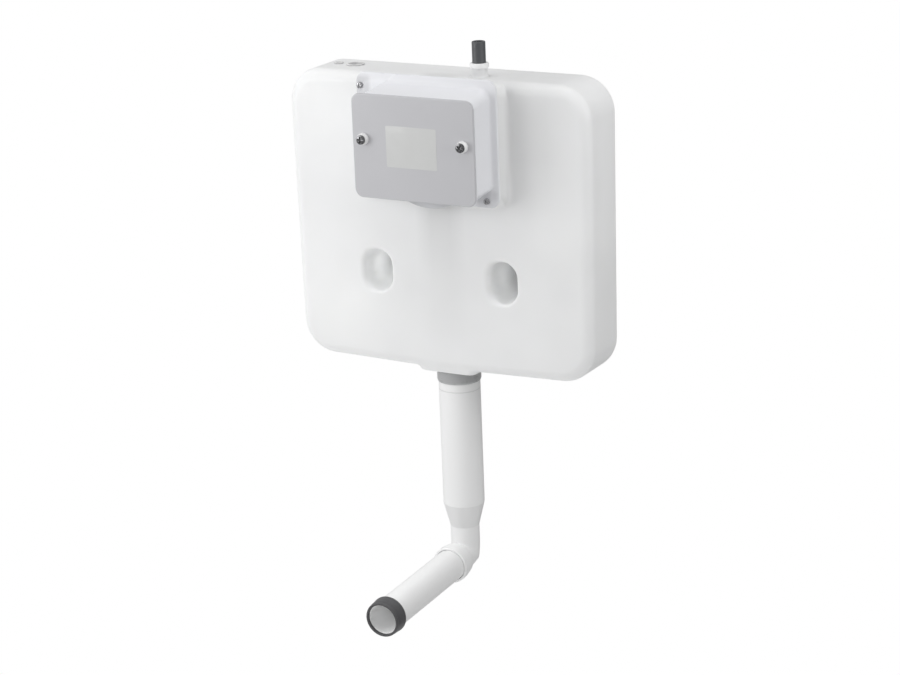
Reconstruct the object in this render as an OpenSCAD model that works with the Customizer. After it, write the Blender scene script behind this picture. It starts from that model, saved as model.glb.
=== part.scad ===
// Slimline concealed toilet cistern with a pneumatic flush valve, a top water inlet,
// a front access box and an angled flush pipe that ends in a rubber flush cone.
// Millimetres, +Z up, +X to the right seen from the front, -Y to the front.
// The origin is the middle of the two wall fixings, on the back plane of the tank.

/* [Tank] */
// Width of the tank across its top
tank_top_w = 453; // [420:1:480]
// Width of the tank across its foot
tank_foot_w = 444; // [410:1:470]
// Depth of the tank from wall to front face
tank_d = 87; // [86:1:110]
// Height of the tank top above the wall fixings
tank_top_z = 271; // [266:1:300]
// Depth of the tank foot below the wall fixings
tank_foot_z = 129; // [115:1:150]
// Fall of the floor towards the outlet
floor_fall = 4; // [2:0.5:10]
// Corner radius of the tank seen from the front
corner_r = 48; // [36:1:56]
// Rounding of the front edge
front_edge_r = 16; // [12:1:22]
// Rounding of the back edge
back_edge_r = 10; // [6:1:14]
// Wall of the blown tank
wall = 3.6; // [2.5:0.1:5]

/* [Wall fixings] */
// Distance between the two wall fixings
fixing_spacing = 190; // [170:1:200]
// Width of a fixing pocket
pocket_w = 42; // [36:1:50]
// Height of a fixing pocket
pocket_h = 58; // [50:1:66]
// Web at the bottom of a pocket
pocket_web = 5; // [4:0.5:8]
// Radius of a fixing hole
fixing_hole_r = 4.5; // [3:0.25:6]

/* [Access box] */
// Margin of the access flange beside the cover
flange_side = 14; // [12:0.5:18]
// Margin of the access flange over and under the cover
flange_end = 15; // [13:0.5:18]
// Rise of the flange over the tank top
flange_rise = 6; // [2:0.5:8]
// Thickness of the access flange
flange_t = 4; // [3:0.5:6]
// Corner radius of the flange
flange_r = 14; // [8:1:20]
// Distance that the neck stands forward of the tank
neck_d = 14; // [10:1:20]
// Thickness of the gasket between neck and flange
gasket_t = 1.5; // [1:0.25:3]
// Depth of the box in front of the flange
box_d = 34; // [26:1:44]
// Width of the box at the cover
cover_w = 181; // [176:1:184]
// Height of the box at the cover
cover_h = 140; // [136:1:144]
// Drop of the cover centre under the flange centre
cover_low = 5.5; // [4:0.5:7]
// Corner radius of the cover
cover_r = 12; // [8:1:18]
// Thickness of the cover
cover_t = 3.7; // [2.5:0.1:5]
// Draft of the box from cover to flange, each side
box_draft = 3; // [1:0.5:4]
// Wall of the box
box_wall = 5.5; // [4:0.5:7]
// Width of the round lobe under the flange
lobe_w = 71; // [50:1:90]
// Drop of the round lobe under the flange
lobe_drop = 8; // [4:1:12]

/* [Cover fixings] */
// Distance of a cover screw from the side of the cover
cover_screw_inset = 16.5; // [15.5:0.5:18]
// Height of the cover screws over the cover centre
cover_screw_rise = 9.5; // [0:0.5:16]
// Radius of a cover screw head
cover_head_r = 6; // [5:0.5:7]
// Height of a cover screw head
cover_head_h = 3.2; // [2.5:0.1:4]
// Radius of a cover screw shank
cover_shank_r = 2; // [1.5:0.1:2.2]
// Radius of the bush behind a cover screw
bush_r = 8; // [7:0.5:9]
// Distance that a bush stands off the cover
bush_h = 10; // [8:0.5:14]

/* [Water inlet] */
// Place of the inlet to the right of the middle
inlet_x = 58; // [50:1:64]
// Place of the inlet in front of the back plane
inlet_y = 62.5; // [60:0.5:66]
// Outer radius of the inlet tail
inlet_r = 9; // [8:0.1:10]
// Bore radius of the inlet tail
inlet_bore_r = 6; // [5:0.1:7]
// Height of the inlet tail above the tank
inlet_h = 47; // [36:1:60]
// Height of the boss under the inlet nut
inlet_boss_h = 12; // [6:1:14]
// Radius of the boss under the inlet nut
inlet_boss_r = 10.8; // [10.6:0.1:12]
// Height of the inlet nut
inlet_nut_h = 7; // [5:0.5:10]
// Radius of the inlet nut
inlet_nut_r = 12.8; // [11.5:0.1:15]

/* [Fill valve] */
// Outer radius of the fill valve body
fill_r = 13; // [12:0.5:15]
// Length of the fill valve body
fill_h = 53; // [50:1:60]
// Radius of the plunger
plunger_r = 8; // [7:0.1:8.5]
// Length of the float lever from its pin to the float rod
lever_l = 82; // [70:1:84]
// Thickness of the float lever
lever_h = 6; // [5:0.5:8]
// Width of the float lever
lever_w = 8; // [7:0.5:10]
// Distance from the lever pin to the plunger
lever_arm = 12; // [11:0.5:13]
// Radius of the lever pin
lever_pin_r = 2; // [1.5:0.1:2.4]
// Drop of the float top under the overflow, in an empty tank
float_low = 3.6; // [0:0.2:8]
// Width of the float
float_w = 50; // [40:1:54]
// Depth of the float, front to back
float_d = 34; // [28:1:36]
// Height of the float
float_h = 45; // [40:1:50]

/* [Flush valve] */
// Radius of the valve tail
tail_r = 23.9; // [23:0.1:24.5]
// Bore radius of the valve tail
tail_bore_r = 20; // [18:0.5:20.5]
// Radius of the valve flange inside the tank
valve_flange_r = 33; // [30:0.5:34]
// Outer radius of the valve tower
tower_r = 31; // [29:0.5:32]
// Wall of the valve tower
tower_wall = 2.5; // [2:0.1:3]
// Height of the overflow above the wall fixings
overflow_z = 90; // [84:1:92]
// Outer radius of the lift tube
lift_r = 11; // [10:0.5:12]
// Bore radius of the lift tube
lift_bore_r = 9.2; // [8:0.1:9.2]
// Travel of the lift tube in a flush
lift_travel = 22; // [12:1:22]
// Outer radius of the air actuator
actuator_r = 24; // [22:0.5:26]

/* [Flush pipe] */
// Outer radius of the wide part of the flush bend
wide_r = 28.6; // [28:0.1:30]
// Outer radius of the narrow part of the flush bend
narrow_r = 20; // [19:0.5:21]
// Outer radius of the flush tube
tube_r = 22.3; // [22:0.1:23]
// Wall of the flush bend
pipe_wall = 2.5; // [2:0.1:3]
// Drop from the wall fixings to the end of the elbow
tube_z = 412.1; // [400:0.1:460]
// Fall of the flush tube towards the front, in degrees
pipe_fall = 2.5; // [0:0.5:4]
// Radius of the elbow on its centre line
elbow_r = 26; // [24:1:36]
// Drop from the wall fixings to the top of the taper
taper_top_z = 334; // [320:1:340]
// Drop from the wall fixings to the foot of the taper
taper_foot_z = 368; // [360:1:376]
// Outer radius of the socket at the end of the bend
socket_r = 24.8; // [24.6:0.1:27]
// Outer radius of the ring round the mouth of the socket
socket_ring_r = 26; // [25.8:0.1:28]
// Width of the ring round the mouth of the socket
socket_ring_w = 12; // [10:0.5:14]
// Length of the socket in front of the elbow
socket_l = 23.6; // [22:0.1:30]
// Distance from the end of the elbow to the front of the flush cone
cone_reach = 211.8; // [160:0.1:280]
// Wall of the outlet nut round the head of the bend
outlet_nut_wall = 1.25; // [1.15:0.05:4]
// Height of the outlet nut
outlet_nut_h = 19; // [17:0.5:30]
// Outer radius of the flush cone
cone_r = 25; // [24.8:0.1:28]
// Length of the flush cone
cone_l = 21; // [18:1:36]

/* [Air hose holes] */
// Distance of the small hose hole from the left end of the tank
small_hose_inset = 55.5; // [50:0.5:60]
// Radius of the small hose hole
small_hose_r = 5; // [4:0.5:6]
// Distance of the large hose hole from the left end of the tank
large_hose_inset = 82; // [74:0.5:90]
// Radius of the large hose hole
large_hose_r = 11; // [9:0.5:12]
// Place of the hose holes in front of the back plane
hose_y = 38.5; // [34:0.5:48]

/* [Hidden] */
$fn = 72;

// Overrun of a cut past the face that it opens
over = 1;
// Gap between pieces of different bodies
free_gap = 0.3;
// Gap of a running fit
run_gap = 0.06;
// Gap of a fixed round fit
snug_gap = 0.05;
// Sides of the round children of a hull
hull_sides = 32;
// Thickness of a slab that only marks an outline in a hull
slab = 0.5;

// Planes of the tank
front_y = -tank_d;
foot_z = -tank_foot_z;
seat_floor_z = foot_z - floor_fall + wall;

// Pocket and its column
column_wall = wall;

// Flange and cover
flange_w = cover_w + 2 * flange_side;
flange_h = cover_h + 2 * flange_end;
flange_z = tank_top_z + flange_rise - flange_h / 2;
cover_z = flange_z - cover_low;
cover_screw_spacing = cover_w - 2 * cover_screw_inset;
cover_screw_z = cover_z + cover_screw_rise;

// Neck and its opening
neck_face_y = front_y - neck_d;
neck_margin = 2.5;
neck_flare = 8;
neck_r = 18;
neck_top_drop = 1;
neck_w = flange_w - 2 * neck_margin;
neck_top_z = tank_top_z - neck_top_drop;
neck_foot_z = flange_z - flange_h / 2 + neck_margin;
opening_margin = 20.5;
opening_w = flange_w - 2 * opening_margin;
opening_h = flange_h - 2 * opening_margin;
opening_z = flange_z - neck_margin;
opening_r = 12;

// Planes of the access box
flange_back_y = neck_face_y - gasket_t;
flange_face_y = flange_back_y - flange_t;
box_front_y = flange_face_y - box_d;
cover_back_y = box_front_y - free_gap;
cover_face_y = cover_back_y - cover_t;
box_top_extra = 5;
box_base_r = 15;
cavity_w = cover_w - 2 * box_wall;
cavity_h = cover_h - 2 * box_wall;
cavity_r = 8;
lobe_r = (lobe_w * lobe_w / 4 + lobe_drop * lobe_drop) / (2 * lobe_drop);
flange_foot_z = flange_z - flange_h / 2;

// Corner pockets with the housing screws
corner_pocket_w = 32;
corner_pocket_h = 24;
corner_wall = 3;
left_screw_side = 5.8;
left_screw_top = 18.3;
right_screw_side = 18.2;
right_screw_foot = 9;
housing_screw_left = [left_screw_side - flange_w / 2, flange_z + flange_h / 2 - left_screw_top];
housing_screw_right = [flange_w / 2 - right_screw_side, flange_foot_z + right_screw_foot];
housing_head_r = 4.2;
housing_head_h = 2.8;
housing_shank_r = 1.9;
housing_shank_l = 14;

// Cover fixings
boss_r = 6;
boss_web_w = 6;
boss_hole_gap = 0.4;
boss_hole_r = cover_shank_r + boss_hole_gap;
boss_floor = 4;
bush_spigot_r = 4.2;
cover_hole_r = bush_spigot_r + snug_gap;
bush_bore_r = cover_shank_r + snug_gap;
bush_rim_step = 1.2;
bush_rim_r = bush_r - bush_rim_step;
bush_step_h = bush_h / 2;
cover_shank_bite = 20.4;
cover_shank_l = bush_h + cover_t + cover_shank_bite;
lip_w = 90;
lip_t = 2.4;
lip_d = 4;

// Water inlet
thread_step = 0.3;
thread_relief = 0.4;
thread_relief_h = 3;
inlet_thread_r = inlet_r + thread_step;
inlet_hole_r = inlet_thread_r + free_gap;
inlet_top_z = tank_top_z + inlet_h;
inlet_boss_top_z = tank_top_z + inlet_boss_h;
inlet_nut_top_z = inlet_boss_top_z + inlet_nut_h;
ceiling_z = tank_top_z - wall;
washer_t = 2;
shoulder_r = 14;
shoulder_h = 4;
shoulder_top_z = ceiling_z - washer_t;
shoulder_foot_z = shoulder_top_z - shoulder_h;
spigot_l = 11;

// Fill valve
fill_foot_z = shoulder_foot_z - fill_h;
seat_web_h = 6;
seat_hole_r = 3.5;
seat_z = shoulder_foot_z - spigot_l - seat_web_h;
plunger_travel = 3.9;
plunger_washer_t = 2;
plunger_washer_r = 6;
plunger_top_z = seat_z - plunger_travel - free_gap - plunger_washer_t;
plunger_h = 24;
nose_r = 1.5;
spout_r = 5;
spout_bore_r = 2.6;
spout_l = 11;
spout_drop = 3.1;
spout_z = seat_z - spout_drop;
ear_t = 3;
ear_w = 10;
ear_gap = 1;
float_swing = 15;
lever_drop = lever_h / 2 + (lever_arm + fill_r) * tan(float_swing) + ear_gap;
pin_z = fill_foot_z - lever_drop;
ear_drop = fill_foot_z - pin_z + lever_h;
pin_x = inlet_x - lever_arm;
nose_gap = 0.6;
lever_top_z = pin_z + lever_h / 2;
nose_foot_z = lever_top_z + nose_gap;
lever_heel = 5;
lever_end = 6;
rod_r = 2.5;
rod_x = pin_x + lever_l;
rod_head_r = 4.5;
rod_head_h = 3;
float_wall = 2;
float_r = 8;
float_top_z = overflow_z - float_low;

// Flush valve on the pipe axis
pipe_y = -tank_d / 2;
outlet_hole_gap = 0.6;
outlet_hole_r = tail_r + outlet_hole_gap;
pedestal_w = 84;
pedestal_d = 60;
pedestal_r = 12;
pedestal_flank = 8;
pedestal_drop = 4;
pedestal_z = foot_z - floor_fall - pedestal_drop;
outlet_washer_t = 2.5;
valve_flange_t = 3.5;
valve_flange_z = seat_floor_z + outlet_washer_t;
tail_l = 55;
tail_foot_z = valve_flange_z - tail_l;
seat_ring_r = 26;
seat_ring_h = 13;
seat_top_z = valve_flange_z + seat_ring_h;
leg_w = 8;
leg_count = 4;
tower_ring_h = 6;
leg_h = 30;
tower_foot_z = seat_top_z + leg_h;
leg_t = 4.5;
tower_ring_r = tower_r - leg_t;
lift_clear = 2;
overflow_head = lift_travel + lift_clear;
actuator_z = overflow_z + overflow_head;
window_w = 22;
low_window_h = 70;
low_window_rise = 14;
low_window_z = tower_foot_z + low_window_rise;
high_window_h = 20;
high_window_drop = 24;
high_window_z = overflow_z - high_window_drop;
seal_t = 2.5;
seal_r = 24;
seal_foot_z = seat_top_z + free_gap;
plate_t = 3;
plate_r = 21.5;
plate_foot_z = seal_foot_z + seal_t;
seal_bore_gap = 0.8;
seal_bore_r = lift_bore_r + seal_bore_gap;
lift_top_z = overflow_z - free_gap;
spider_t = 2;
spider_h = 8;
stem_r = 3;
lift_float_r = 24;
lift_float_rise = 16;
lift_float_z = tower_foot_z + lift_float_rise;
lift_float_h = 70;
lift_float_wall = 1.8;
actuator_floor_t = 3;
actuator_wall = 3;
piston_r = actuator_r - actuator_wall - run_gap;
piston_h = 6;
piston_gap = 2;
piston_z = actuator_z + actuator_floor_t + piston_gap;
piston_head = 6;
actuator_h = actuator_floor_t + piston_gap + piston_h + lift_travel + piston_head;
actuator_top_z = actuator_z + actuator_h;
nipple_r = 2.5;
nipple_bore_r = 1.2;
nipple_l = 12;
nipple_spacing = 22;
lug_r = tower_r;

// Outlet nut and the tail seal
nut_thread_gap = 0.1;
nut_thread_h = 10;
nut_skirt_gap = 0.4;
nut_skirt_r = wide_r + nut_skirt_gap;
outlet_nut_r = nut_skirt_r + outlet_nut_wall;
nut_edge = 0.8;
seal_groove_d = 1.2;
tail_seal_h = 5;
tail_seal_rise = 8;

// Flush bend and flush tube
bend_head = 1.5;
bend_top_z = pedestal_z - nut_thread_h - bend_head;
bend_bore_r = wide_r - pipe_wall;
narrow_bore_r = narrow_r - pipe_wall;
ring_drop = 18.2;
ring_z = bend_top_z - ring_drop;
ring_w = 1.6;
ring_depth = 0.3;
elbow_z = elbow_r * cos(pipe_fall) - tube_z;
tube_start_y = pipe_y - elbow_r + elbow_r * sin(pipe_fall);
tube_start_z = -tube_z;
socket_mouth_y = -socket_l;
socket_lead = 0.5;
socket_taper = 4;
elbow_step = 0.15;
tube_fit = 0.35;
tube_insert = 18;
tube_back_y = socket_mouth_y + tube_insert;
socket_seal_w = 5;
socket_seal_h = 2;
socket_seal_back = 2.6;
tube_wall = 2.3;
cone_front_y = -cone_reach;
cone_overhang = 4;
tube_front_y = cone_front_y + cone_overhang;
cone_lip_w = 4;
cone_lip_in = 1.3;
cone_lip_step = 0.7;

// Air hose holes and grommets
small_hose_x = tank_top_w / 2 - small_hose_inset;
large_hose_x = tank_top_w / 2 - large_hose_inset;
grommet_flange = 1.6;
grommet_rim = 1.6;
grommet_under_gap = 0.4;

// A rectangle with round corners, about its middle
module round_rect(w, h, r) {
    square([w - 2 * r, h], center = true);
    square([w, h - 2 * r], center = true);
    for (sx = [-1, 1])
        for (sz = [-1, 1])
            translate([sx * (w / 2 - r), sz * (h / 2 - r)]) circle(r);
}

// An outline in X and Z, drawn out forwards from the plane y_back
module forward(y_back, depth) {
    translate([0, y_back, 0]) rotate([90, 0, 0]) linear_extrude(depth) children();
}

// A tube along Z between two heights
module tube_z(r_out, r_in, z_low, z_high) {
    translate([0, 0, z_low]) difference() {
        cylinder(r = r_out, h = z_high - z_low);
        translate([0, 0, -over]) cylinder(r = r_in, h = z_high - z_low + 2 * over);
    }
}

// A round bar along -Y from the plane y_back
module bar_y(r, y_back, length) {
    translate([0, y_back, 0]) rotate([90, 0, 0]) cylinder(r = r, h = length);
}

// One rounded corner ring of the tank, lying in X and Z
module corner_ring(major, minor) {
    rotate([90, 0, 0]) rotate_extrude($fn = hull_sides)
        translate([major, 0]) circle(minor, $fn = hull_sides);
}

// The tank's form, drawn in on all sides by inset
module tank_form(inset) {
    half_top = tank_top_w / 2 - corner_r;
    half_foot = tank_foot_w / 2 - corner_r;
    top = tank_top_z - corner_r;
    foot = foot_z + corner_r;
    spots = [[half_top, top], [-half_top, top], [half_foot, foot], [-half_foot, foot], [0, foot - floor_fall]];
    hull()
        for (s = spots) {
            translate([s[0], front_y + front_edge_r, s[1]])
                corner_ring(corner_r - front_edge_r, front_edge_r - inset);
            translate([s[0], -back_edge_r, s[1]])
                corner_ring(corner_r - back_edge_r, back_edge_r - inset);
        }
}

// A standing slot outline with round ends
module slot_outline(w, h) {
    square([w, h - w], center = true);
    for (s = [-1, 1]) translate([0, s * (h - w) / 2]) circle(w / 2);
}

// The raised neck that carries the access flange
module neck_form() {
    face_h = neck_top_z - neck_foot_z;
    base_h = face_h + neck_flare;
    hull() {
        translate([0, 0, neck_foot_z + face_h / 2]) forward(neck_face_y + slab, slab)
            round_rect(neck_w, face_h, neck_r, $fn = hull_sides);
        translate([0, 0, neck_top_z - base_h / 2]) forward(front_y + front_edge_r, slab)
            round_rect(neck_w + 2 * neck_flare, base_h, neck_r, $fn = hull_sides);
    }
}

// The lobe outline under the flange, up to the flange centre
module lobe_outline(inset) {
    intersection() {
        translate([0, flange_foot_z - lobe_drop + lobe_r]) circle(lobe_r - inset);
        translate([-lobe_w / 2, flange_foot_z - lobe_drop]) square([lobe_w, flange_h / 2]);
    }
}

// The flat pedestal under the outlet
module pedestal_form() {
    top_z = foot_z - floor_fall + pedestal_flank;
    hull() {
        translate([0, pipe_y, pedestal_z]) linear_extrude(slab)
            round_rect(pedestal_w, pedestal_d, pedestal_r, $fn = hull_sides);
        translate([0, pipe_y, top_z]) linear_extrude(slab)
            round_rect(pedestal_w + 2 * pedestal_flank, pedestal_d + pedestal_flank, pedestal_r, $fn = hull_sides);
    }
}

// Places a child on each hose hole
module at_hose(x) {
    translate([-x, -hose_y, 0]) children();
}

// Places a child on the inlet axis
module at_inlet() {
    translate([inlet_x, -inlet_y, 0]) children();
}

// Places a child on the axis of the flush valve and flush pipe
module at_pipe() {
    translate([0, pipe_y, 0]) children();
}

module tank_shell() {
    color([0.95, 0.95, 0.95]) difference() {
        union() {
            difference() {
                union() {
                    tank_form(0);
                    neck_form();
                    pedestal_form();
                }
                tank_form(wall);
            }
            for (s = [-1, 1])
                translate([s * fixing_spacing / 2, 0, 0]) forward(-wall / 2, tank_d - wall)
                    slot_outline(pocket_w + 2 * column_wall, pocket_h + 2 * column_wall);
            at_inlet() translate([0, 0, ceiling_z]) cylinder(r = inlet_boss_r, h = wall + inlet_boss_h);
            intersection() {
                forward(neck_face_y + neck_d + wall, neck_d + wall) lobe_outline(neck_margin);
                translate([-tank_top_w / 2, neck_face_y, foot_z]) cube([tank_top_w, neck_d + wall, 2 * tank_top_z]);
            }
        }
        translate([0, 0, opening_z]) forward(front_y + wall + over, neck_d + wall + 2 * over)
            round_rect(opening_w, opening_h, opening_r);
        for (s = [-1, 1])
            translate([s * fixing_spacing / 2, 0, 0]) {
                forward(-pocket_web, tank_d) slot_outline(pocket_w, pocket_h);
                bar_y(fixing_hole_r, over, pocket_web + 2 * over);
            }
        for (p = [housing_screw_left, housing_screw_right])
            translate([p[0], 0, p[1]]) bar_y(housing_shank_r + snug_gap, neck_face_y + housing_shank_l, housing_shank_l + over);
        at_inlet() translate([0, 0, ceiling_z - over]) cylinder(r = inlet_hole_r, h = wall + inlet_boss_h + 2 * over);
        at_inlet() translate([0, 0, shoulder_foot_z]) cylinder(r = shoulder_r + over, h = ceiling_z - shoulder_foot_z);
        at_hose(small_hose_x) translate([0, 0, ceiling_z - over]) cylinder(r = small_hose_r, h = wall + 2 * over);
        at_hose(large_hose_x) translate([0, 0, ceiling_z - over]) cylinder(r = large_hose_r, h = wall + 2 * over);
        at_pipe() translate([0, 0, seat_floor_z]) cylinder(r = valve_flange_r + over, h = pedestal_flank);
        at_pipe() translate([0, 0, pedestal_z - over]) cylinder(r = outlet_hole_r, h = 2 * pedestal_drop + 2 * wall + over);
    }
}

module housing_gasket() {
    color([0.25, 0.25, 0.26]) difference() {
        translate([0, 0, opening_z]) forward(neck_face_y, gasket_t)
            round_rect(opening_w + opening_margin, opening_h + opening_margin, opening_r + opening_margin / 2);
        translate([0, 0, opening_z]) forward(neck_face_y + over, gasket_t + 2 * over)
            round_rect(opening_w, opening_h, opening_r);
    }
}

// A corner of the box cut off slantwise, at the lower right or the upper left
module corner_cut(side, grow) {
    half_w = cover_w / 2 + box_draft;
    half_h = cover_h / 2 + box_draft + box_top_extra;
    x = side * half_w;
    z = cover_z - side * half_h;
    far = 2 * box_draft + box_top_extra;
    polygon([
        [x - side * (corner_pocket_w + grow), z - side * far],
        [x + side * far, z - side * far],
        [x + side * far, z + side * (corner_pocket_h + grow)],
        [x, z + side * (corner_pocket_h + grow)],
        [x - side * (corner_pocket_w + grow), z]
    ]);
}

// The boss that takes a cover screw, tied to the side wall
module screw_boss(side) {
    x = side * cover_screw_spacing / 2;
    y_back = flange_back_y;
    depth = flange_t + box_d;
    translate([x, 0, cover_screw_z]) bar_y(boss_r, y_back, depth);
    web_l = cavity_w / 2 - cover_screw_spacing / 2 + over;
    translate([x + side * web_l / 2, y_back - depth / 2, cover_screw_z])
        cube([web_l, depth, boss_web_w], center = true);
}

module access_housing() {
    base_w = cover_w + 2 * box_draft;
    base_h = cover_h + 2 * box_draft + box_top_extra;
    color([0.93, 0.93, 0.94]) difference() {
        union() {
            difference() {
                union() {
                    translate([0, 0, flange_z]) forward(flange_back_y, flange_t) round_rect(flange_w, flange_h, flange_r);
                    forward(flange_back_y, flange_t) lobe_outline(0);
                    hull() {
                        translate([0, 0, cover_z + box_top_extra / 2]) forward(flange_face_y, slab)
                            round_rect(base_w, base_h, box_base_r, $fn = hull_sides);
                        translate([0, 0, cover_z]) forward(box_front_y + slab, slab)
                            round_rect(cover_w, cover_h, cover_r, $fn = hull_sides);
                    }
                }
                forward(flange_back_y + over, flange_t + box_d + 2 * over) difference() {
                    translate([0, cover_z]) round_rect(cavity_w, cavity_h, cavity_r);
                    for (side = [-1, 1]) corner_cut(side, corner_wall);
                }
            }
            for (side = [-1, 1]) screw_boss(side);
        }
        for (side = [-1, 1]) forward(flange_face_y, box_d + over) corner_cut(side, 0);
        for (p = [housing_screw_left, housing_screw_right])
            translate([p[0], 0, p[1]]) bar_y(housing_shank_r + snug_gap, flange_back_y + over, flange_t + 2 * over);
        for (side = [-1, 1])
            translate([side * cover_screw_spacing / 2, 0, cover_screw_z])
                bar_y(boss_hole_r, flange_back_y - boss_floor, flange_t + box_d);
    }
}

module housing_screws() {
    color([0.55, 0.56, 0.58]) for (p = [housing_screw_left, housing_screw_right])
        translate([p[0], 0, p[1]]) {
            bar_y(housing_head_r, flange_face_y, housing_head_h);
            bar_y(housing_shank_r, flange_face_y + housing_shank_l, housing_shank_l + over);
        }
}

module access_cover() {
    color([0.76, 0.77, 0.8]) difference() {
        union() {
            translate([0, 0, cover_z]) forward(cover_back_y, cover_t) round_rect(cover_w, cover_h, cover_r);
            for (s = [-1, 1])
                translate([0, 0, cover_z + s * (cavity_h / 2 - free_gap - lip_t / 2)])
                    forward(cover_back_y + lip_d, lip_d + over) square([lip_w, lip_t], center = true);
        }
        for (side = [-1, 1])
            translate([side * cover_screw_spacing / 2, 0, cover_screw_z])
                bar_y(cover_hole_r, cover_back_y + over, cover_t + 2 * over);
    }
}

module cover_bushes() {
    color([0.93, 0.93, 0.93]) for (side = [-1, 1])
        translate([side * cover_screw_spacing / 2, 0, cover_screw_z]) difference() {
            union() {
                bar_y(bush_spigot_r, cover_back_y, cover_t + over);
                bar_y(bush_r, cover_face_y, bush_step_h);
                bar_y(bush_rim_r, cover_face_y, bush_h);
            }
            bar_y(bush_bore_r, cover_back_y + over, cover_t + bush_h + 2 * over);
        }
}

module cover_screws() {
    color([0.62, 0.63, 0.65]) for (side = [-1, 1])
        translate([side * cover_screw_spacing / 2, cover_face_y - bush_h, cover_screw_z]) {
            bar_y(cover_head_r, 0, cover_head_h);
            bar_y(cover_shank_r, cover_shank_l, cover_shank_l + over);
        }
}

module inlet_tail() {
    color([0.3, 0.31, 0.33]) at_inlet() difference() {
        union() {
            translate([0, 0, shoulder_foot_z - spigot_l])
                cylinder(r = inlet_thread_r, h = inlet_nut_top_z - shoulder_foot_z + spigot_l);
            translate([0, 0, inlet_nut_top_z - over]) cylinder(r = inlet_r - thread_relief, h = thread_relief_h + 2 * over);
            translate([0, 0, inlet_nut_top_z + thread_relief_h])
                cylinder(r = inlet_r, h = inlet_top_z - inlet_nut_top_z - thread_relief_h);
            translate([0, 0, shoulder_foot_z]) cylinder(r = shoulder_r, h = shoulder_h);
        }
        translate([0, 0, shoulder_foot_z - spigot_l - over])
            cylinder(r = inlet_bore_r, h = inlet_top_z - shoulder_foot_z + spigot_l + 2 * over);
    }
}

module inlet_nut() {
    color([0.92, 0.92, 0.92]) at_inlet()
        tube_z(inlet_nut_r, inlet_thread_r + snug_gap, inlet_boss_top_z, inlet_nut_top_z);
}

module inlet_washer() {
    color([0.15, 0.15, 0.16]) at_inlet() tube_z(shoulder_r, inlet_thread_r + snug_gap, shoulder_top_z, ceiling_z);
}

module fill_valve_body() {
    chamber_r = plunger_r + run_gap;
    color([0.9, 0.9, 0.9]) at_inlet() difference() {
        union() {
            translate([0, 0, fill_foot_z]) cylinder(r = fill_r, h = fill_h);
            translate([0, 0, spout_z]) rotate([0, -90, 0]) cylinder(r = spout_r, h = fill_r + spout_l);
            for (s = [-1, 1])
                translate([-lever_arm, s * (lever_w / 2 + ear_gap + ear_t / 2), fill_foot_z - ear_drop / 2 + over])
                    cube([ear_w, ear_t, ear_drop + 2 * over], center = true);
        }
        translate([0, 0, seat_z + seat_web_h]) cylinder(r = inlet_thread_r + snug_gap, h = spigot_l + over);
        translate([0, 0, seat_z - over]) cylinder(r = seat_hole_r, h = seat_web_h + 2 * over);
        translate([0, 0, fill_foot_z - over]) cylinder(r = chamber_r, h = seat_z - fill_foot_z + over);
        translate([0, 0, spout_z]) rotate([0, -90, 0]) cylinder(r = spout_bore_r, h = fill_r + spout_l + over);
        translate([-lever_arm, 0, pin_z]) rotate([90, 0, 0])
            cylinder(r = lever_pin_r + snug_gap, h = 2 * (lever_w + ear_gap + ear_t), center = true);
    }
}

module fill_plunger() {
    color([0.35, 0.5, 0.75]) at_inlet() union() {
        translate([0, 0, plunger_top_z - plunger_h]) cylinder(r = plunger_r, h = plunger_h);
        translate([0, 0, nose_foot_z]) cylinder(r = nose_r, h = plunger_top_z - plunger_h - nose_foot_z + over);
    }
}

module plunger_washer() {
    color([0.12, 0.12, 0.13]) at_inlet() translate([0, 0, plunger_top_z]) cylinder(r = plunger_washer_r, h = plunger_washer_t);
}

module lever_pin() {
    pin_l = lever_w + 2 * ear_gap + 2 * ear_t;
    color([0.7, 0.71, 0.73]) translate([pin_x, -inlet_y, pin_z]) rotate([90, 0, 0])
        cylinder(r = lever_pin_r, h = pin_l, center = true);
}

module float_lever() {
    color([0.93, 0.93, 0.93]) translate([pin_x, -inlet_y, pin_z]) difference() {
        union() {
            translate([0, -lever_w / 2, -lever_h / 2]) cube([lever_l, lever_w, lever_h]);
            rotate([90, 0, 0]) cylinder(r = lever_heel, h = lever_w, center = true);
            translate([lever_l, 0, -lever_h / 2]) cylinder(r = lever_end, h = lever_h);
        }
        rotate([90, 0, 0]) cylinder(r = lever_pin_r + run_gap, h = lever_w + 2 * over, center = true);
        translate([lever_l, 0, -lever_h]) cylinder(r = rod_r + snug_gap, h = 2 * lever_h);
    }
}

module float_rod() {
    color([0.85, 0.85, 0.86]) translate([rod_x, -inlet_y, 0]) union() {
        translate([0, 0, float_top_z - float_h / 2]) cylinder(r = rod_r, h = lever_top_z - float_top_z + float_h / 2 + over);
        translate([0, 0, lever_top_z]) cylinder(r = rod_head_r, h = rod_head_h);
        translate([0, 0, float_top_z]) cylinder(r = rod_head_r, h = rod_head_h);
    }
}

module float_cup() {
    hub_r = rod_r + 2 * float_wall;
    color([0.96, 0.96, 0.95]) translate([rod_x, -inlet_y, float_top_z - float_h]) difference() {
        union() {
            difference() {
                linear_extrude(float_h) round_rect(float_w, float_d, float_r);
                translate([0, 0, -float_wall]) linear_extrude(float_h)
                    round_rect(float_w - 2 * float_wall, float_d - 2 * float_wall, float_r - float_wall);
            }
            translate([0, 0, float_h / 4]) cylinder(r = hub_r, h = float_h * 3 / 4 - float_wall / 2);
        }
        translate([0, 0, -over]) cylinder(r = rod_r + snug_gap, h = float_h + 2 * over);
    }
}

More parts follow.
